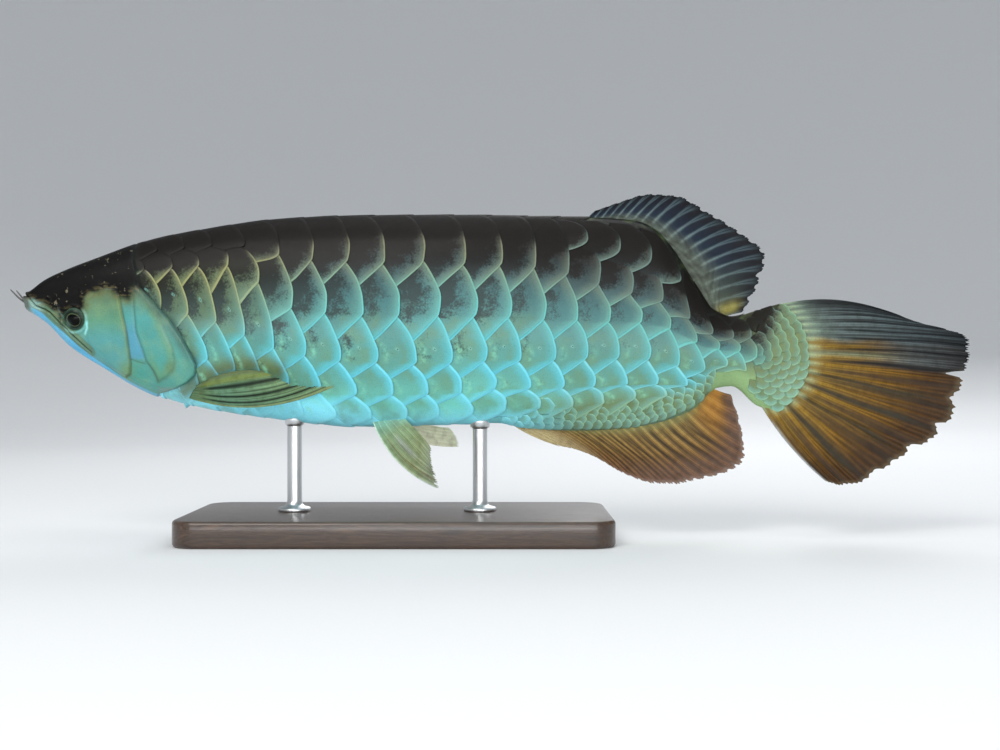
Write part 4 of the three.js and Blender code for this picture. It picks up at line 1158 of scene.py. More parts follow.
def upright(wave):
    def toPoint(key):
        at, root, tip, bow = key
        out = wave(at)
        start = (root[0], float(bendAt(root[0])), body["axis"] + root[1])
        end = (tip[0], float(bendAt(min(tip[0], 232))) + out, body["axis"] + tip[1])
        return start, end, (bow[0], -0.22 * out, bow[1])
    return toPoint


def paired(side):
    def toPoint(key):
        at, root, tip, bow = key
        start = (root[0], float(bendAt(root[0])) - side * root[1], body["axis"] + root[2])
        end = (tip[0], float(bendAt(tip[0])) - side * tip[1], body["axis"] + tip[2])
        return start, end, (bow[0], -side * bow[1], bow[2])
    return toPoint


def ridges(off, reach, fin):  # 1 along the rays and their branches, 0 on the membrane between
    first, second = fin["splits"]
    spread = fin["spread"] * ease(first, 1, reach)
    finer = 0.45 * fin["spread"] * ease(second, 1, reach)
    width = fin["rayWidth"] * (1 - 0.45 * ease(first, first + 0.15, reach))
    found = np.zeros_like(off)
    for a in (-1, 1):
        for b in (-1, 1):
            found = np.maximum(found, bump(off - a * spread - b * finer, width))
    return found


def makeFin(name, fin, keys, toPoint, material, slot, *nodes):
    count, samples, steps = fin["rays"], fin["samples"], fin["steps"]
    columns = (count - 1) * samples
    piece, u, v, face = gridSlab(name, columns, steps)
    curves = rayCurves(keys, toPoint)
    chances = dice.random(count * 4 + 8)
    across = np.linspace(0, 1, columns + 1)
    reach = np.linspace(0, 1, steps + 1)
    at, t = np.meshgrid(across, reach, indexing="ij")
    place = at * (count - 1)
    off = place - np.rint(place)
    ridge = ridges(off, t, fin)
    tipRidge = ridges(off, np.ones_like(off), fin)
    branch = np.rint(place * 4).astype(int)
    ragged = 1 - fin["notch"] * (1 - tipRidge) - fin["ragged"] * chances[branch] * ease(0.3, 1, t)
    for tear, depth, width in fin["tears"]:
        ragged = ragged - depth * bump(at - tear, width) * ease(0.2, 1, t)
    shown = t * ragged
    root, tip, bow = [np.stack([curve(at) for curve in part], -1) for part in curves]
    centre = root + (tip - root) * shown[..., None] + bow * (4 * shown * (1 - shown))[..., None]
    normal = unit(np.cross(np.gradient(centre, axis=0), np.gradient(centre, axis=1)))
    if (normal * fin["outward"]).sum(-1).mean() < 0:
        normal = -normal
    half = fin["membrane"] + (fin["crest"] - fin["membrane"]) * ridge
    half = half * (1 - (1 - fin["tipShare"]) * t)
    half = half + fin["sheath"] * ease(fin["sheathReach"], 0, t)
    ripple = fin["ripple"] * np.sin(2 * np.pi * place + 0.5) * ease(0.1, 0.6, t)
    i, j = np.rint(u * columns).astype(int), np.rint(v * steps).astype(int)
    points = centre[i, j] + normal[i, j] * (ripple[i, j] + face * half[i, j])[:, None]
    setCoordinates(piece, points * mm)
    colour = fin["colour"](at, t, ridge, place, off)
    addColours(piece, "paint", colour[i, j])
    addNumbers(piece, "ray", ridge[i, j])
    addNumbers(piece, "reach", (t * fin["joints"])[i, j])
    front = np.stack([0.02 + 0.96 * u, 0.02 + 0.46 * v], -1)
    addBakeMap(piece, slabCorners(piece, front, front + [0, 0.5], face))
    faceOutwards()
    smooth(piece)
    finishPiece(piece, material, slot, *nodes)
    print(name, len(piece.data.polygons) * 2, "triangles")
    return piece


def finPaint(name, coat):
    paint = Paint(name)
    colour = paint.attribute("paint", "Color")
    ray = paint.attribute("ray")
    colour = paint.grained(
        colour,
        (240, 3, (0.4, 0.75), 0.35, (0.25, 0.2, 0.16), "MULTIPLY"),
        (1300, 2, (0.3, 0.8), 0.25, (0.8, 0.8, 0.75), "OVERLAY"),
    )
    joints = (paint.attribute("reach") * (2 * math.pi)).math("SINE").between(0.75, 1) * ray
    colour = paint.mix(joints * 0.3, colour, (0.2, 0.17, 0.14), "MULTIPLY")
    height = paint.noise(900, 3) * 0.5 - joints * 0.5
    rough = paint.noise(300, 2) * 0.2 + 0.4
    normal = paint.relief(height, 0.4, 0.0003)
    return paint.surface(
        colour, Roughness=rough, Specular_IOR_Level=0.12,
        Coat_Weight=coat, Coat_Roughness=0.25, Normal=normal,
    )


def fineLines(place, t):  # thin darker lines along each ray's branches
    lines = 0.5 + 0.5 * np.cos(2 * np.pi * place * 5 + 0.6 * np.sin(t * 13 + place * 2.1))
    return (1 - 0.4 * lines * ease(0.03, 0.2, t))[..., None]


def stripes(at, places, width):  # 1 along each of the places across a fin
    return np.max([bump(at - place, width) for place in places], axis=0)


# Rays and the mesh's steps, where and how far the rays split, ray width; how deep the edge is notched, ragged
# and torn; half-thickness of web and ray, its share at the tip, and the thicker root; ripples and joints
finForm = {
    "steps": 60, "ragged": 0.02, "membrane": 0.22, "crest": 0.55, "tipShare": 0.4, "ripple": 0.2, "tears": [],
}
dorsalFin = {
    **finForm, "rays": 21, "samples": 12, "splits": (0.45, 0.75), "spread": 0.15, "rayWidth": 0.13,
    "notch": 0.035, "membrane": 0.2, "sheath": 1.2, "sheathReach": 0.4, "ripple": 0.15, "joints": 26,
    "tears": [(0.83, 0.04, 0.012), (0.92, 0.06, 0.015)],
}
dorsalKeys = [
    (0, (100, 53.6), (107.5, 61.4), (0, 0.4)),
    (0.13, (110, 52.4), (121.5, 66.4), (0, 0.8)),
    (0.25, (119, 50.4), (137.7, 70.9), (-0.4, 1.2)),
    (0.37, (129.5, 47), (152.4, 70), (-0.8, 1.6)),
    (0.5, (141.5, 39), (171, 59.8), (-1, 2.4)),
    (0.63, (150.5, 28), (188, 48.6), (-1, 3.4)),
    (0.75, (155.5, 19), (201, 36.2), (-0.5, 3.4)),
    (0.85, (160, 11), (197.4, 22.6), (0, 2.4)),
    (0.93, (165.5, 4), (192.6, 12.4), (0, 1)),
    (1, (172, 0.8), (187.6, 5.2), (0, 0.4)),
]


def dorsalColour(at, t, ridge, place, off):
    membrane = shades(t, (0, 44, 54, 62), (0.45, 18, 32, 46), (0.8, 8, 15, 26), (1, 8, 8, 12))
    ray = shades(t, (0, 100, 108, 100), (0.4, 88, 104, 106), (0.75, 64, 80, 86), (1, 22, 26, 32))
    colour = crossed(membrane, ray, ridge)
    colour = blendTo(colour, tint(74, 82, 62), 0.4 * ease(0.7, 0.9, at) * ease(1, 0.4, t))
    rear = bump(at - 0.955, 0.035) * ease(0.1, 0.3, t) * ease(1, 0.6, t)
    colour = blendTo(colour, tint(138, 130, 62), 0.75 * rear)
    mottle = 0.5 + 0.5 * np.sin(place * 2.9 + 5 * np.sin(t * 16)) * np.sin(t * 34 + place * 1.3)
    root = ease(0.44, 0.2, t + 0.16 * (mottle - 0.5))
    colour = blendTo(colour, tint(54, 57, 50), 0.88 * root)
    return blendTo(colour, tint(112, 124, 108), 0.34 * mottle * ease(0.5, 0.3, t) * ease(0.06, 0.2, t))


analFin = {
    **finForm, "rays": 29, "samples": 10, "splits": (0.45, 0.7), "spread": 0.17, "rayWidth": 0.15,
    "notch": 0.03, "membrane": 0.2, "sheath": 0.7, "sheathReach": 0.25, "ripple": 0.12, "joints": 28,
    "tears": [(0.02, 0.06, 0.01)],
}
analKeys = [
    (0, (60, -55.4), (88, -68.4), (-1, -1)),
    (0.08, (67, -56), (94.5, -69.6), (0, -0.2)),
    (0.18, (77, -56.4), (107, -74.2), (0.5, 0.6)),
    (0.3, (88.5, -57), (123, -83.4), (1, 1.4)),
    (0.42, (99.5, -57), (138, -88.8), (1, 1)),
    (0.54, (111, -56), (150, -89.4), (0.5, 0)),
    (0.66, (126.5, -54.4), (163, -87), (-0.4, -1.2)),
    (0.78, (144, -50.4), (183.6, -81), (-1, -2.4)),
    (0.87, (156, -45.6), (190, -72.8), (-1, -2)),
    (0.94, (163, -41), (187.6, -57), (-0.6, -1.2)),
    (1, (169, -35), (182.4, -40), (0, -0.6)),
]


def analColour(at, t, ridge, place, off):
    ray = shades(t, (0, 158, 144, 88), (0.3, 166, 134, 76), (0.7, 140, 102, 60), (1, 120, 86, 66))
    colour = ray * (0.45 + 0.55 * ridge[..., None]) * fineLines(place, t)
    dark = bump(np.abs(off) - 0.5, 0.12) * ease(0.05, 0.3, t)
    colour = blendTo(colour, tint(48, 36, 24), 0.7 * dark * ease(0.12, 0.4, at))
    strong = stripes(at + 0.008 * np.sin(t * 7), (0.36, 0.43, 0.52, 0.58, 0.655, 0.7, 0.77, 0.83, 0.9), 0.008)
    colour = blendTo(colour, tint(42, 34, 24), 0.8 * strong * ease(0.08, 0.3, t) * ease(1, 0.8, t))
    colour = blendTo(colour, tint(168, 112, 34), 0.5 * ease(0.82, 0.96, at) * ease(0.9, 0.3, t))
    front = ease(0.3, 0.04, at)
    return layered(
        colour,
        (tint(176, 164, 124), 0.75 * front),
        (tint(92, 74, 66), 0.5 * ease(0.5, 0.85, t) * ease(0.3, 0.5, at)),
        (tint(140, 122, 112), 0.5 * ease(0.92, 1, t)),
        (tint(120, 128, 84), 0.6 * ease(0.22, 0.04, t)),
    )


caudalFin = {
    **finForm, "rays": 18, "samples": 20, "steps": 76, "splits": (0.22, 0.55), "spread": 0.25,
    "rayWidth": 0.12,
    "notch": 0.015, "membrane": 0.24, "crest": 0.66, "tipShare": 0.38, "sheath": 0.5,
    "sheathReach": 0.2, "ripple": 0.22, "joints": 44,
    "tears": [
        (0.51, 0.1, 0.012), (0.59, 0.05, 0.014), (0.665, 0.045, 0.012), (0.745, 0.05, 0.014),
        (0.83, 0.03, 0.012),
    ],
}
caudalKeys = [
    (0, (208, 9.6), (285, -1.2), (0, 7.2)),
    (0.1, (211.4, 5.6), (292, -2.8), (0, 5.4)),
    (0.2, (215, 0), (302, -4.4), (0, 3.6)),
    (0.3, (217.8, -5.6), (313.4, -9.6), (0, 1.6)),
    (0.4, (219.6, -12.6), (313.2, -17.8), (0, 0.9)),
    (0.48, (220.4, -18.7), (310.4, -25.6), (0, 0.6)),
    (0.54, (220.2, -22.8), (308, -33), (0, 0)),
    (0.62, (219, -28), (303.6, -49.2), (0, 0)),
    (0.7, (217.4, -33.4), (291, -64), (0, 0)),
    (0.78, (214.6, -38), (273, -74.4), (0, -0.3)),
    (0.87, (209, -42.8), (250, -88), (-0.6, -1)),
    (0.93, (203.6, -45), (240, -89.2), (-1, -1.4)),
    (1, (198, -45.4), (231.5, -86.8), (-1.4, -1.8)),
]


def caudalColour(at, t, ridge, place, off):
    grey = shades(t, (0, 124, 144, 122), (0.25, 112, 128, 126), (0.6, 90, 104, 108), (1, 38, 44, 50))
    orange = shades(
        t, (0, 146, 136, 80), (0.14, 152, 120, 48), (0.5, 126, 92, 28), (0.8, 80, 54, 20), (1, 70, 50, 30),
    )
    greyPart = ease(0.3, 0.7, t) * ease(0.53, 0.48, at)
    lower = ease(0.33, 0.39, at + 0.012 * np.sin(t * 17)) * (1 - 0.8 * greyPart)
    base = crossed(grey, orange, lower)
    base = blendTo(base, tint(140, 150, 118), 0.8 * bump(at - 0.45, 0.02) * ease(0.7, 0.3, t))
    colour = base * (0.6 + 0.4 * ridge[..., None]) * fineLines(place, t)
    between = bump(np.abs(off) - 0.5, 0.1) * ease(0.04, 0.3, t)
    colour = blendTo(colour, tint(24, 24, 22), (0.8 - 0.25 * lower) * between)
    wander = at + 0.004 * np.sin(t * 9 + at * 20)
    inGrey = stripes(wander, (0.12, 0.165, 0.225, 0.29, 0.345, 0.415, 0.5), 0.0125)
    colour = blendTo(colour, tint(14, 15, 17), 0.92 * inGrey * ease(0.06, 0.4, t))
    inOrange = stripes(wander, (0.6, 0.68, 0.765, 0.855), 0.0125)
    colour = blendTo(colour, tint(44, 42, 32), 0.85 * inOrange * ease(0, 0.14, t) * ease(1, 0.7, t))
    thin = stripes(wander, (0.565, 0.64, 0.725, 0.81, 0.9, 0.94), 0.007)
    colour = blendTo(colour, tint(60, 44, 28), 0.6 * thin * ease(0.1, 0.3, t))
    upperDark = ease(0.14, 0.05, at) * ease(0.04, 0.3, t)
    colour = layered(
        colour,
        (tint(22, 22, 24), 0.88 * upperDark),
        (tint(150, 158, 160), 0.75 * ease(0.975, 1, at) * ease(0.1, 0.3, t)),
        (tint(150, 138, 112), 0.18 * ease(0.95, 1, t) * ease(0.45, 0.55, at)),
    )
    fringe = (0.5 + 0.5 * np.cos(place * 2 * np.pi)) * ease(0.16, 0.03, t)
    return blendTo(colour, tint(146, 166, 132), 0.8 * fringe)


pectoralFin = {
    **finForm, "rays": 7, "samples": 30, "steps": 84, "splits": (0.35, 0.65), "spread": 0.24, "rayWidth": 0.1,
    "notch": 0.02, "crest": 0.6, "sheath": 0.9, "sheathReach": 0.14, "joints": 40,
    "tears": [(0.3, 0.03, 0.02), (0.52, 0.04, 0.02), (0.78, 0.05, 0.02)],
}
pectoralKeys = [
    (0, (-112, 13, -41.5), (-30.2, 40, -34.6), (0, 3, -8)),
    (0.2, (-111.2, 13.5, -40.2), (-39.7, 37, -34.6), (0, 3, -6.6)),
    (0.4, (-110.4, 14, -39), (-48, 34.4, -34.6), (0, 2.6, -4.8)),
    (0.6, (-109.6, 14.5, -37.8), (-56, 32, -33.2), (0, 2.2, -2.8)),
    (0.8, (-108.6, 15, -36.4), (-64, 29.4, -29.4), (0, 1.8, 0)),
    (1, (-107.6, 15.6, -34.6), (-70, 27, -27.4), (0, 1.4, 3.4)),
]


def pectoralColour(at, t, ridge, place, off):
    base = shades(t, (0, 90, 108, 62), (0.3, 104, 144, 116), (1, 114, 144, 104))
    colour = base * (0.72 + 0.28 * ridge[..., None])
    colour = layered(
        colour,
        (tint(98, 110, 54), 0.8 * ease(0.76, 0.84, at) * ease(1, 0.88, at)),
        (tint(72, 76, 46), 0.8 * ease(0.88, 1, at)),
        (tint(112, 124, 84), 0.7 * ease(0.14, 0.04, at)),
    )
    thin = bump(np.abs(off) - 0.5, 0.05) * ease(0.1, 0.3, t) * ease(0.8, 0.7, at)
    colour = blendTo(colour, tint(52, 66, 44), 0.45 * thin)
    main = stripes(at, (0.24, 0.48, 0.73), 0.052) * ease(0.04, 0.2, t)
    fine = stripes(at, (0.1, 0.36, 0.6), 0.018) * ease(0.25, 0.45, t)
    return layered(
        colour,
        (tint(8, 22, 14), 0.95 * np.maximum(main, 0.7 * fine)),
        (tint(92, 104, 72), 0.7 * ease(0.9, 1, at) * ease(1, 0.7, t)),
        (tint(80, 106, 80), 0.85 * ease(0.14, 0.01, t)),
    )


pelvicFin = {
    **finForm, "rays": 6, "samples": 24, "splits": (0.3, 0.6), "spread": 0.24, "rayWidth": 0.12,
    "notch": 0.03, "ragged": 0.025, "sheath": 0.9, "sheathReach": 0.3, "joints": 26,
}
pelvicRoots = [(-15, 5), (-10, 6), (-4, 7), (2.5, 7.6)]
pelvicTips = {
    "left": [
        ((22.8, 21, -90.4), (-4.6, 0, -4.2)),
        ((20.6, 21.4, -82.8), (-2, 0, -2)),
        ((18.4, 21, -76), (0, 0, 1)),
        ((18, 20, -68), (0, 0, 1)),
    ],
    "right": [
        ((32.4, 31, -70.2), (-1, 0, -5)),
        ((31, 29.6, -65.6), (0, 0, -3)),
        ((29, 28, -62), (0, 0, -2)),
        ((26.5, 26, -59.2), (0, 0, -1)),
    ],
}


def pelvicColour(at, t, ridge, place, off):
    base = shades(t, (0, 116, 180, 168), (0.25, 146, 176, 134), (0.7, 150, 164, 118), (1, 150, 160, 138))
    colour = base * (0.7 + 0.3 * ridge[..., None]) * fineLines(place, t)
    dark = bump(np.abs(off) - 0.5, 0.1) * ease(0.15, 0.45, t)
    return layered(
        colour,
        (tint(88, 108, 78), 0.55 * dark),
        (tint(132, 134, 138), 0.6 * bump(at - 0.42, 0.06) * ease(0.2, 0.4, t) * ease(0.8, 0.6, t)),
        (tint(104, 92, 66), 0.5 * bump(at - 0.2, 0.03) * ease(0.15, 0.35, t)),
        (tint(196, 222, 206), 0.75 * ease(0.06, 0, at)),
    )


# painted light: the far pelvic fin is painted almost white so that it shows bright though it lies in shade
def farPelvicLitColour(*place):
    return blendTo(pelvicColour(*place), tint(254, 252, 218), 0.88)


# Eyes and barbels

def eyePaint():
    paint = Paint("eye")
    ring = paint.attribute("ring")
    wander = paint.noise(900, 3) * 0.08
    stops = [
        (0.0, (0.001, 0.001, 0.001)),
        (0.56, (0.001, 0.001, 0.001)),
        (0.6, (0.1, 0.13, 0.07)),
        (0.65, (0.012, 0.02, 0.012)),
        (0.76, (0.008, 0.014, 0.01)),
        (0.88, (0.03, 0.052, 0.038)),
        (1.0, (0.07, 0.12, 0.09)),
    ]
    colour = paint.node("ShaderNodeValToRGB", {"stops": stops}, {0: ring + wander - 0.04})
    colour = paint.mix(paint.attribute("pale") * 0.5, colour, tint(84, 116, 104))
    colour = paint.grained(colour, (1600, 2, (0.4, 0.7), 0.4, (0.4, 0.55, 0.4), "MULTIPLY"))
    return paint.surface(
        colour, Roughness=0.2, Specular_IOR_Level=0.08, Coat_Weight=0.06, Coat_Roughness=0.03,
    )


def makeEye(name, side, material):
    eye = {
        "flat": 0.46, "proud": 2.1, "segments": 64, "rings": 40,
        "pupil": (0.14, -0.045), "pupilTilt": 25, "pupilStretch": (1.12, 0.88),
        "pale": (-0.55, -0.42), "paleWidth": 0.3,
    }
    deselect()
    bpy.ops.mesh.primitive_uv_sphere_add(segments=eye["segments"], ring_count=eye["rings"], radius=1)
    piece = takeName(name)
    shape = coordinatesOf(piece)
    radius = head["eyeRadius"]
    x, z = head["eye"]
    xs, zs, sides = np.array([x]), np.array([z + body["axis"]]), np.array([side])
    angle = angleAtDepth(xs, depthAt(xs, zs))
    out = skinNormal(xs, angle, sides)[0]
    middle = sectionPoint(xs, angle, sides)[0] + out * (eye["proud"] - radius * eye["flat"])
    along = unit(np.cross(out, [0, 0, 1.0]))
    up = np.cross(along, out)
    dome = shape[:, 2] * radius * eye["flat"]
    bulge = 0.35 * bump(np.hypot(shape[:, 0], shape[:, 1]), 0.5) * (shape[:, 2] > 0)
    points = middle + np.outer(shape[:, 0] * radius, along) + np.outer(shape[:, 1] * radius, up)
    points = points + np.outer(dome + bulge, out)
    setCoordinates(piece, points * mm)
    back, rise = -shape[:, 0] * side, shape[:, 1]  # towards the tail and up
    turn = math.radians(eye["pupilTilt"])
    fromPupil = back - eye["pupil"][0], rise - eye["pupil"][1]
    long = fromPupil[0] * math.cos(turn) - fromPupil[1] * math.sin(turn)
    short = fromPupil[0] * math.sin(turn) + fromPupil[1] * math.cos(turn)
    plain = np.hypot(back, rise)
    ring = np.hypot(long / eye["pupilStretch"][0], short / eye["pupilStretch"][1])
    ring = ring + (plain - ring) * ease(0.55, 0.85, plain)
    addNumbers(piece, "ring", np.where(shape[:, 2] > 0, ring, 1))
    fromPale = np.hypot(back - eye["pale"][0], rise - eye["pale"][1])
    addNumbers(piece, "pale", bump(fromPale, eye["paleWidth"]) * (shape[:, 2] > 0))
    faceOutwards()
    smooth(piece)
    return finishPiece(piece, material, "eye", name)


def tubeAlong(name, route, radii, around=16):
    route = np.array(route, float)
    steps = 28
    t = np.linspace(0, 1, steps)
    length = np.linspace(0, 1, len(route))
    path = np.stack([Curve(list(zip(length, route[:, i])))(t) for i in range(3)], -1)
    along = unit(np.gradient(path, axis=0))
    side = unit(np.cross(along, [0.0, 1.0, 0.1]))
    other = np.cross(along, side)
    angle = 2 * np.pi * np.arange(around) / around
    radius = Curve(radii)(t)
    rings = path[:, None] + radius[:, None, None] * (
        np.cos(angle)[None, :, None] * side[:, None] + np.sin(angle)[None, :, None] * other[:, None]
    )
    piece = sleeve(name, rings)
    smooth(piece)
    return piece


def plainPaint(name, first, second, scaleOf, roughness, metallic=0.0):
    paint = Paint(name)
    colour = paint.mix(paint.noise(scaleOf, 3), first, second)
    rough = paint.noise(scaleOf * 2, 2) * 0.15 + roughness
    normal = paint.relief(paint.noise(scaleOf * 4, 2), 0.2, 0.0003)
    return paint.surface(colour, Roughness=rough, Metallic=metallic, Coat_Weight=0.3, Normal=normal)


def makeBarbel(name, side, material):
    route = [
        (-201.8, 1.6, 9.4), (-203.8, 2.4, 10.4), (-206.5, 3.2, 12.4), (-209.4, 4, 15.4), (-211.2, 4.5, 17.4),
    ]
    points = [(x, float(bendAt(x)) - side * out, body["axis"] + z) for x, out, z in route]
    piece = tubeAlong(name, points, [(0, 0.75), (0.25, 0.62), (0.7, 0.42), (0.95, 0.26), (1, 0.08)])
    return finishPiece(piece, material, "barbel", name)


# Stand

stand = {
    "length": 230, "width": 112, "thickness": 14, "corner": 14, "bevel": 2,
    "rods": {"front": -58, "rear": 44},
    "facets": 48,
    "intoBelly": 2.2,
    "footProfile": [  # of a rod: radius, and height over the base
        (0.2, 0.02), (8.6, 0.02), (9, 0.5), (9, 1.6), (8.5, 2.2), (5.6, 3), (4.6, 4), (4, 6), (4, 20),
    ],
    "topProfile": [(4, 9), (4, 5), (4.8, 4.4), (5.4, 3.6), (5.4, 0), (0.2, 0)],  # depth below the top
}


def woodPaint():
    paint = Paint("stand_wood")
    grain = paint.noise(3.2, 5, (6, 60, 60), 1.4)
    fine = paint.noise(60, 4, (3, 60, 60))
    stops = [
        (0.3, (0.022, 0.012, 0.008)),
        (0.48, (0.06, 0.032, 0.018)),
        (0.56, (0.035, 0.018, 0.011)),
        (0.7, (0.085, 0.046, 0.026)),
    ]
    colour = paint.node("ShaderNodeValToRGB", {"stops": stops}, {0: grain})
    colour = paint.mix(fine.between(0.45, 0.7) * 0.5, colour, (0.25, 0.2, 0.18), "MULTIPLY")
    rough = fine * 0.2 + 0.28
    normal = paint.relief(fine + grain, 0.25, 0.0004)
    return paint.surface(colour, Roughness=rough, Coat_Weight=0.4, Coat_Roughness=0.12, Normal=normal)


def steelPaint():
    paint = Paint("stand_steel")
    brushed = paint.noise(400, 3, (1, 1, 30))
    colour = paint.mix(brushed, (0.52, 0.53, 0.54), (0.68, 0.69, 0.70))
    rough = brushed * 0.25 + 0.2
    normal = paint.relief(brushed, 0.15, 0.0002)
    return paint.surface(colour, Roughness=rough, Metallic=1.0, Normal=normal)


def makeBase(material):
    size = stand["length"] * mm, stand["width"] * mm, stand["thickness"] * mm
    deselect()
    bpy.ops.mesh.primitive_cube_add(size=1, location=(0, 0, size[2] / 2))
    piece = takeName("stand_block")
    piece.scale = size
    settle(piece)
    switch("EDIT")
    bpy.ops.mesh.select_mode(type="EDGE")
    bpy.ops.mesh.select_all(action="DESELECT")
    switch("OBJECT")
    for edge in piece.data.edges:
        a, b = [piece.data.vertices[i].co for i in edge.vertices]
        edge.select = abs(a.z - b.z) > size[2] / 2
    switch("EDIT")
    bpy.ops.mesh.bevel(offset=stand["corner"] * mm, segments=12)
    switch("OBJECT")
    rounded = piece.modifiers.new("Edges", "BEVEL")
    rounded.width = stand["bevel"] * mm
    rounded.segments = 4
    rounded.limit_method = "ANGLE"
    rounded.angle_limit = math.radians(60)
    applyAll(piece)
    smooth(piece, 35)
    return finishPiece(piece, material, "stand_wood", "stand_base")


def makeRod(name, x, material):
    foot = stand["thickness"]
    belly = body["axis"] + float(bottomAt(x)) + stand["intoBelly"]
    profile = [(radius, foot + over) for radius, over in stand["footProfile"]]
    profile += [(radius, belly - under) for radius, under in stand["topProfile"]]
    angle = 2 * np.pi * np.arange(stand["facets"]) / stand["facets"]
    y = float(bendAt(x))
    rings = np.array([[(x + r * math.cos(a), y + r * math.sin(a), z) for a in angle] for r, z in profile])
    piece = sleeve("stand_post_" + name, rings)
    smooth(piece, 40)
    return finishPiece(piece, material, "stand_steel", "stand_rod_" + name)


# Studio

def makeStudio():
    studio = {"floor": (0.72, 0.735, 0.75), "radius": 1.1, "wall": 0.6, "cove": 1.8, "steps": 12}
    deselect()
    bpy.ops.mesh.primitive_circle_add(vertices=96, radius=studio["radius"], fill_type="NGON")
    floor = takeName("studio_floor")
    switch("EDIT")
    bpy.ops.mesh.select_mode(type="EDGE")
    bpy.ops.mesh.select_all(action="DESELECT")
    bpy.ops.mesh.select_non_manifold()
    turns = np.linspace(0, math.pi / 2, studio["steps"] + 1)
    for low, high in zip(turns[:-1], turns[1:]):
        rise = studio["cove"] * (math.cos(low) - math.cos(high))
        old = studio["radius"] + studio["cove"] * math.sin(low)
        new = studio["radius"] + studio["cove"] * math.sin(high)
        bpy.ops.mesh.extrude_edges_move()
        bpy.ops.transform.translate(value=(0, 0, rise))
        bpy.ops.transform.resize(value=(new / old, new / old, 1))
    bpy.ops.mesh.extrude_edges_move()
    bpy.ops.transform.translate(value=(0, 0, studio["wall"]))
    switch("OBJECT")
    smooth(floor)
    floor.data.materials.append(Paint("studio").surface(studio["floor"], Roughness=0.9))
    lamps = [
        ("key", (-0.5, -1.15, 1.15), 0.9, 16, (1.0, 0.98, 0.95)),
        ("top", (0.2, 0.1, 1.5), 1.2, 7, (0.97, 0.99, 1.0)),
        ("fill", (0.3, -1.3, 0.24), 1.1, 10, (0.95, 0.98, 1.0)),
        ("back", (0.5, 1.1, 0.9), 0.9, 9, (1.0, 1.0, 1.0)),
    ]
    for name, place, size, power, colour in lamps:
        deselect()
        bpy.ops.object.light_add(type="AREA", location=place)
        lamp = bpy.context.object
        lamp.name = "lamp_" + name
        lamp.data.size = size
        lamp.data.energy = power
        lamp.data.color = colour
        lamp.visible_camera = False
        aim = Vector((0.05, 0, 0.1)) - Vector(place)
        lamp.rotation_euler = aim.to_track_quat("-Z", "Y").to_euler()
    deselect()
    tilt = math.radians(168)  # it shines up at the belly
    bpy.ops.object.light_add(type="AREA", location=(0.05, -0.62, 0.03), rotation=(tilt, 0, 0))
    lamp = bpy.context.object
    lamp.name = "lamp_low"
    lamp.data.shape = "RECTANGLE"
    lamp.data.size = 0.9
    lamp.data.size_y = 0.18
    lamp.data.energy = 4
    lamp.visible_camera = False
    world = bpy.data.worlds.new("studio")
    bpy.context.scene.world = world
    world.use_nodes = True
    background = world.node_tree.nodes["Background"]
    background.inputs["Color"].default_value = (0.86, 0.9, 0.94, 1)
    background.inputs["Strength"].default_value = 0.42
    bpy.context.scene.view_settings.view_transform = "Standard"


def makeCamera():
    view = {"place": (0.055, -0.75, 0.08885), "sensor": 36, "shownWidth": 0.55}  # the width at the fish
    deselect()
    bpy.ops.object.camera_add(location=view["place"], rotation=(math.pi / 2, 0, 0))
    camera = takeName("camera")
    camera.data.lens = view["sensor"] * -view["place"][1] / view["shownWidth"]
    camera.data.sensor_width = view["sensor"]
    bpy.context.scene.camera = camera


makeCamera()
makeStudio()
print("studio and camera done")

makeSkin(skinPaint())
print("skin done")

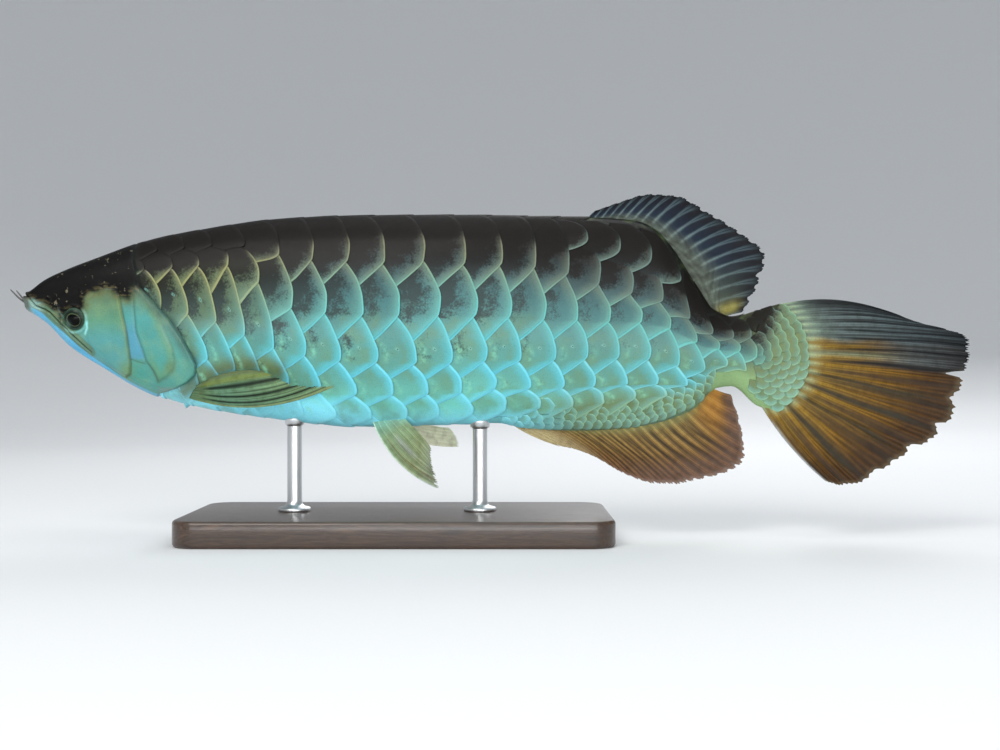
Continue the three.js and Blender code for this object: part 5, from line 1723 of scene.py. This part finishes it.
scalesFinish = scalePaint()
template = gridSlab("scale", *scale["grid"])
rowsOfParts = {
    "back": (-1, -scale["extraRow"], 0, scale["extraRow"], 1),
    "left_upper": (2, 3),
    "left_lower": (4, 5),
    "right_upper": (-3, -2),
    "right_lower": (-5, -4),
    "belly": (6,),
}
for part, rows in rowsOfParts.items():
    makeScales("scales_" + part, rows, template, scalesFinish)
bpy.data.objects.remove(template[0])
template = gridSlab("small_scale", *smallScale["grid"])
makeSmallScales(template, scalesFinish)
bpy.data.objects.remove(template[0])
print("scales done")

darkFin, warmFin, paleFin = finPaint("dark_fin", 0.03), finPaint("warm_fin", 0.05), finPaint("pale_fin", 0.1)
waves = {  # how far each fin's edge stands out of its plane
    "dorsal": lambda at: 3 * math.sin(5 * at),
    "anal": lambda at: -2.4 * math.sin(4 * at),
    "caudal": lambda at: 7 * math.cos(3.4 * at) - 2,
}
middleFins = (
    ("dorsal", dorsalFin, dorsalColour, dorsalKeys, darkFin, "dark_fin"),
    ("anal", analFin, analColour, analKeys, warmFin, "warm_fin"),
    ("caudal", caudalFin, caudalColour, caudalKeys, warmFin, "warm_fin"),
)
for name, fin, colour, keys, paint, slot in middleFins:
    fin = {**fin, "colour": colour, "outward": (0, -1, 0)}
    makeFin(name, fin, keys, upright(waves[name]), paint, slot, name + "_fin")
for sideName, side in (("left", 1), ("right", -1)):
    pelvicKeys = [
        (at, (x, out, -53), tip, bow)
        for at, (x, out), (tip, bow) in zip((0, 0.35, 0.7, 1), pelvicRoots, pelvicTips[sideName])
    ]
    pelvicPaint = pelvicColour if side > 0 else farPelvicLitColour
    pairedFins = (
        ("pectoral", pectoralFin, pectoralColour, pectoralKeys),
        ("pelvic", pelvicFin, pelvicPaint, pelvicKeys),
    )
    for name, fin, colour, keys in pairedFins:
        fin = {**fin, "colour": colour, "outward": (0, -side * 0.5, 1)}
        node = name + "_fin_" + sideName
        makeFin(name + "_" + sideName, fin, keys, paired(side), paleFin, "pale_fin", node)
print("fins done")

eyeFinish = eyePaint()
barbelFinish = plainPaint("barbel", (0.012, 0.012, 0.014), (0.05, 0.045, 0.04), 500, 0.3)
for sideName, side in (("left", 1), ("right", -1)):
    makeEye("eye_" + sideName, side, eyeFinish).name = "eyeball_" + sideName
    makeBarbel("barbel_" + sideName, side, barbelFinish).name = "whisker_" + sideName
print("eyes and barbels done")

makeBase(woodPaint())
steel = steelPaint()
for rodName, rodX in stand["rods"].items():
    makeRod(rodName, rodX, steel)
print("stand done")
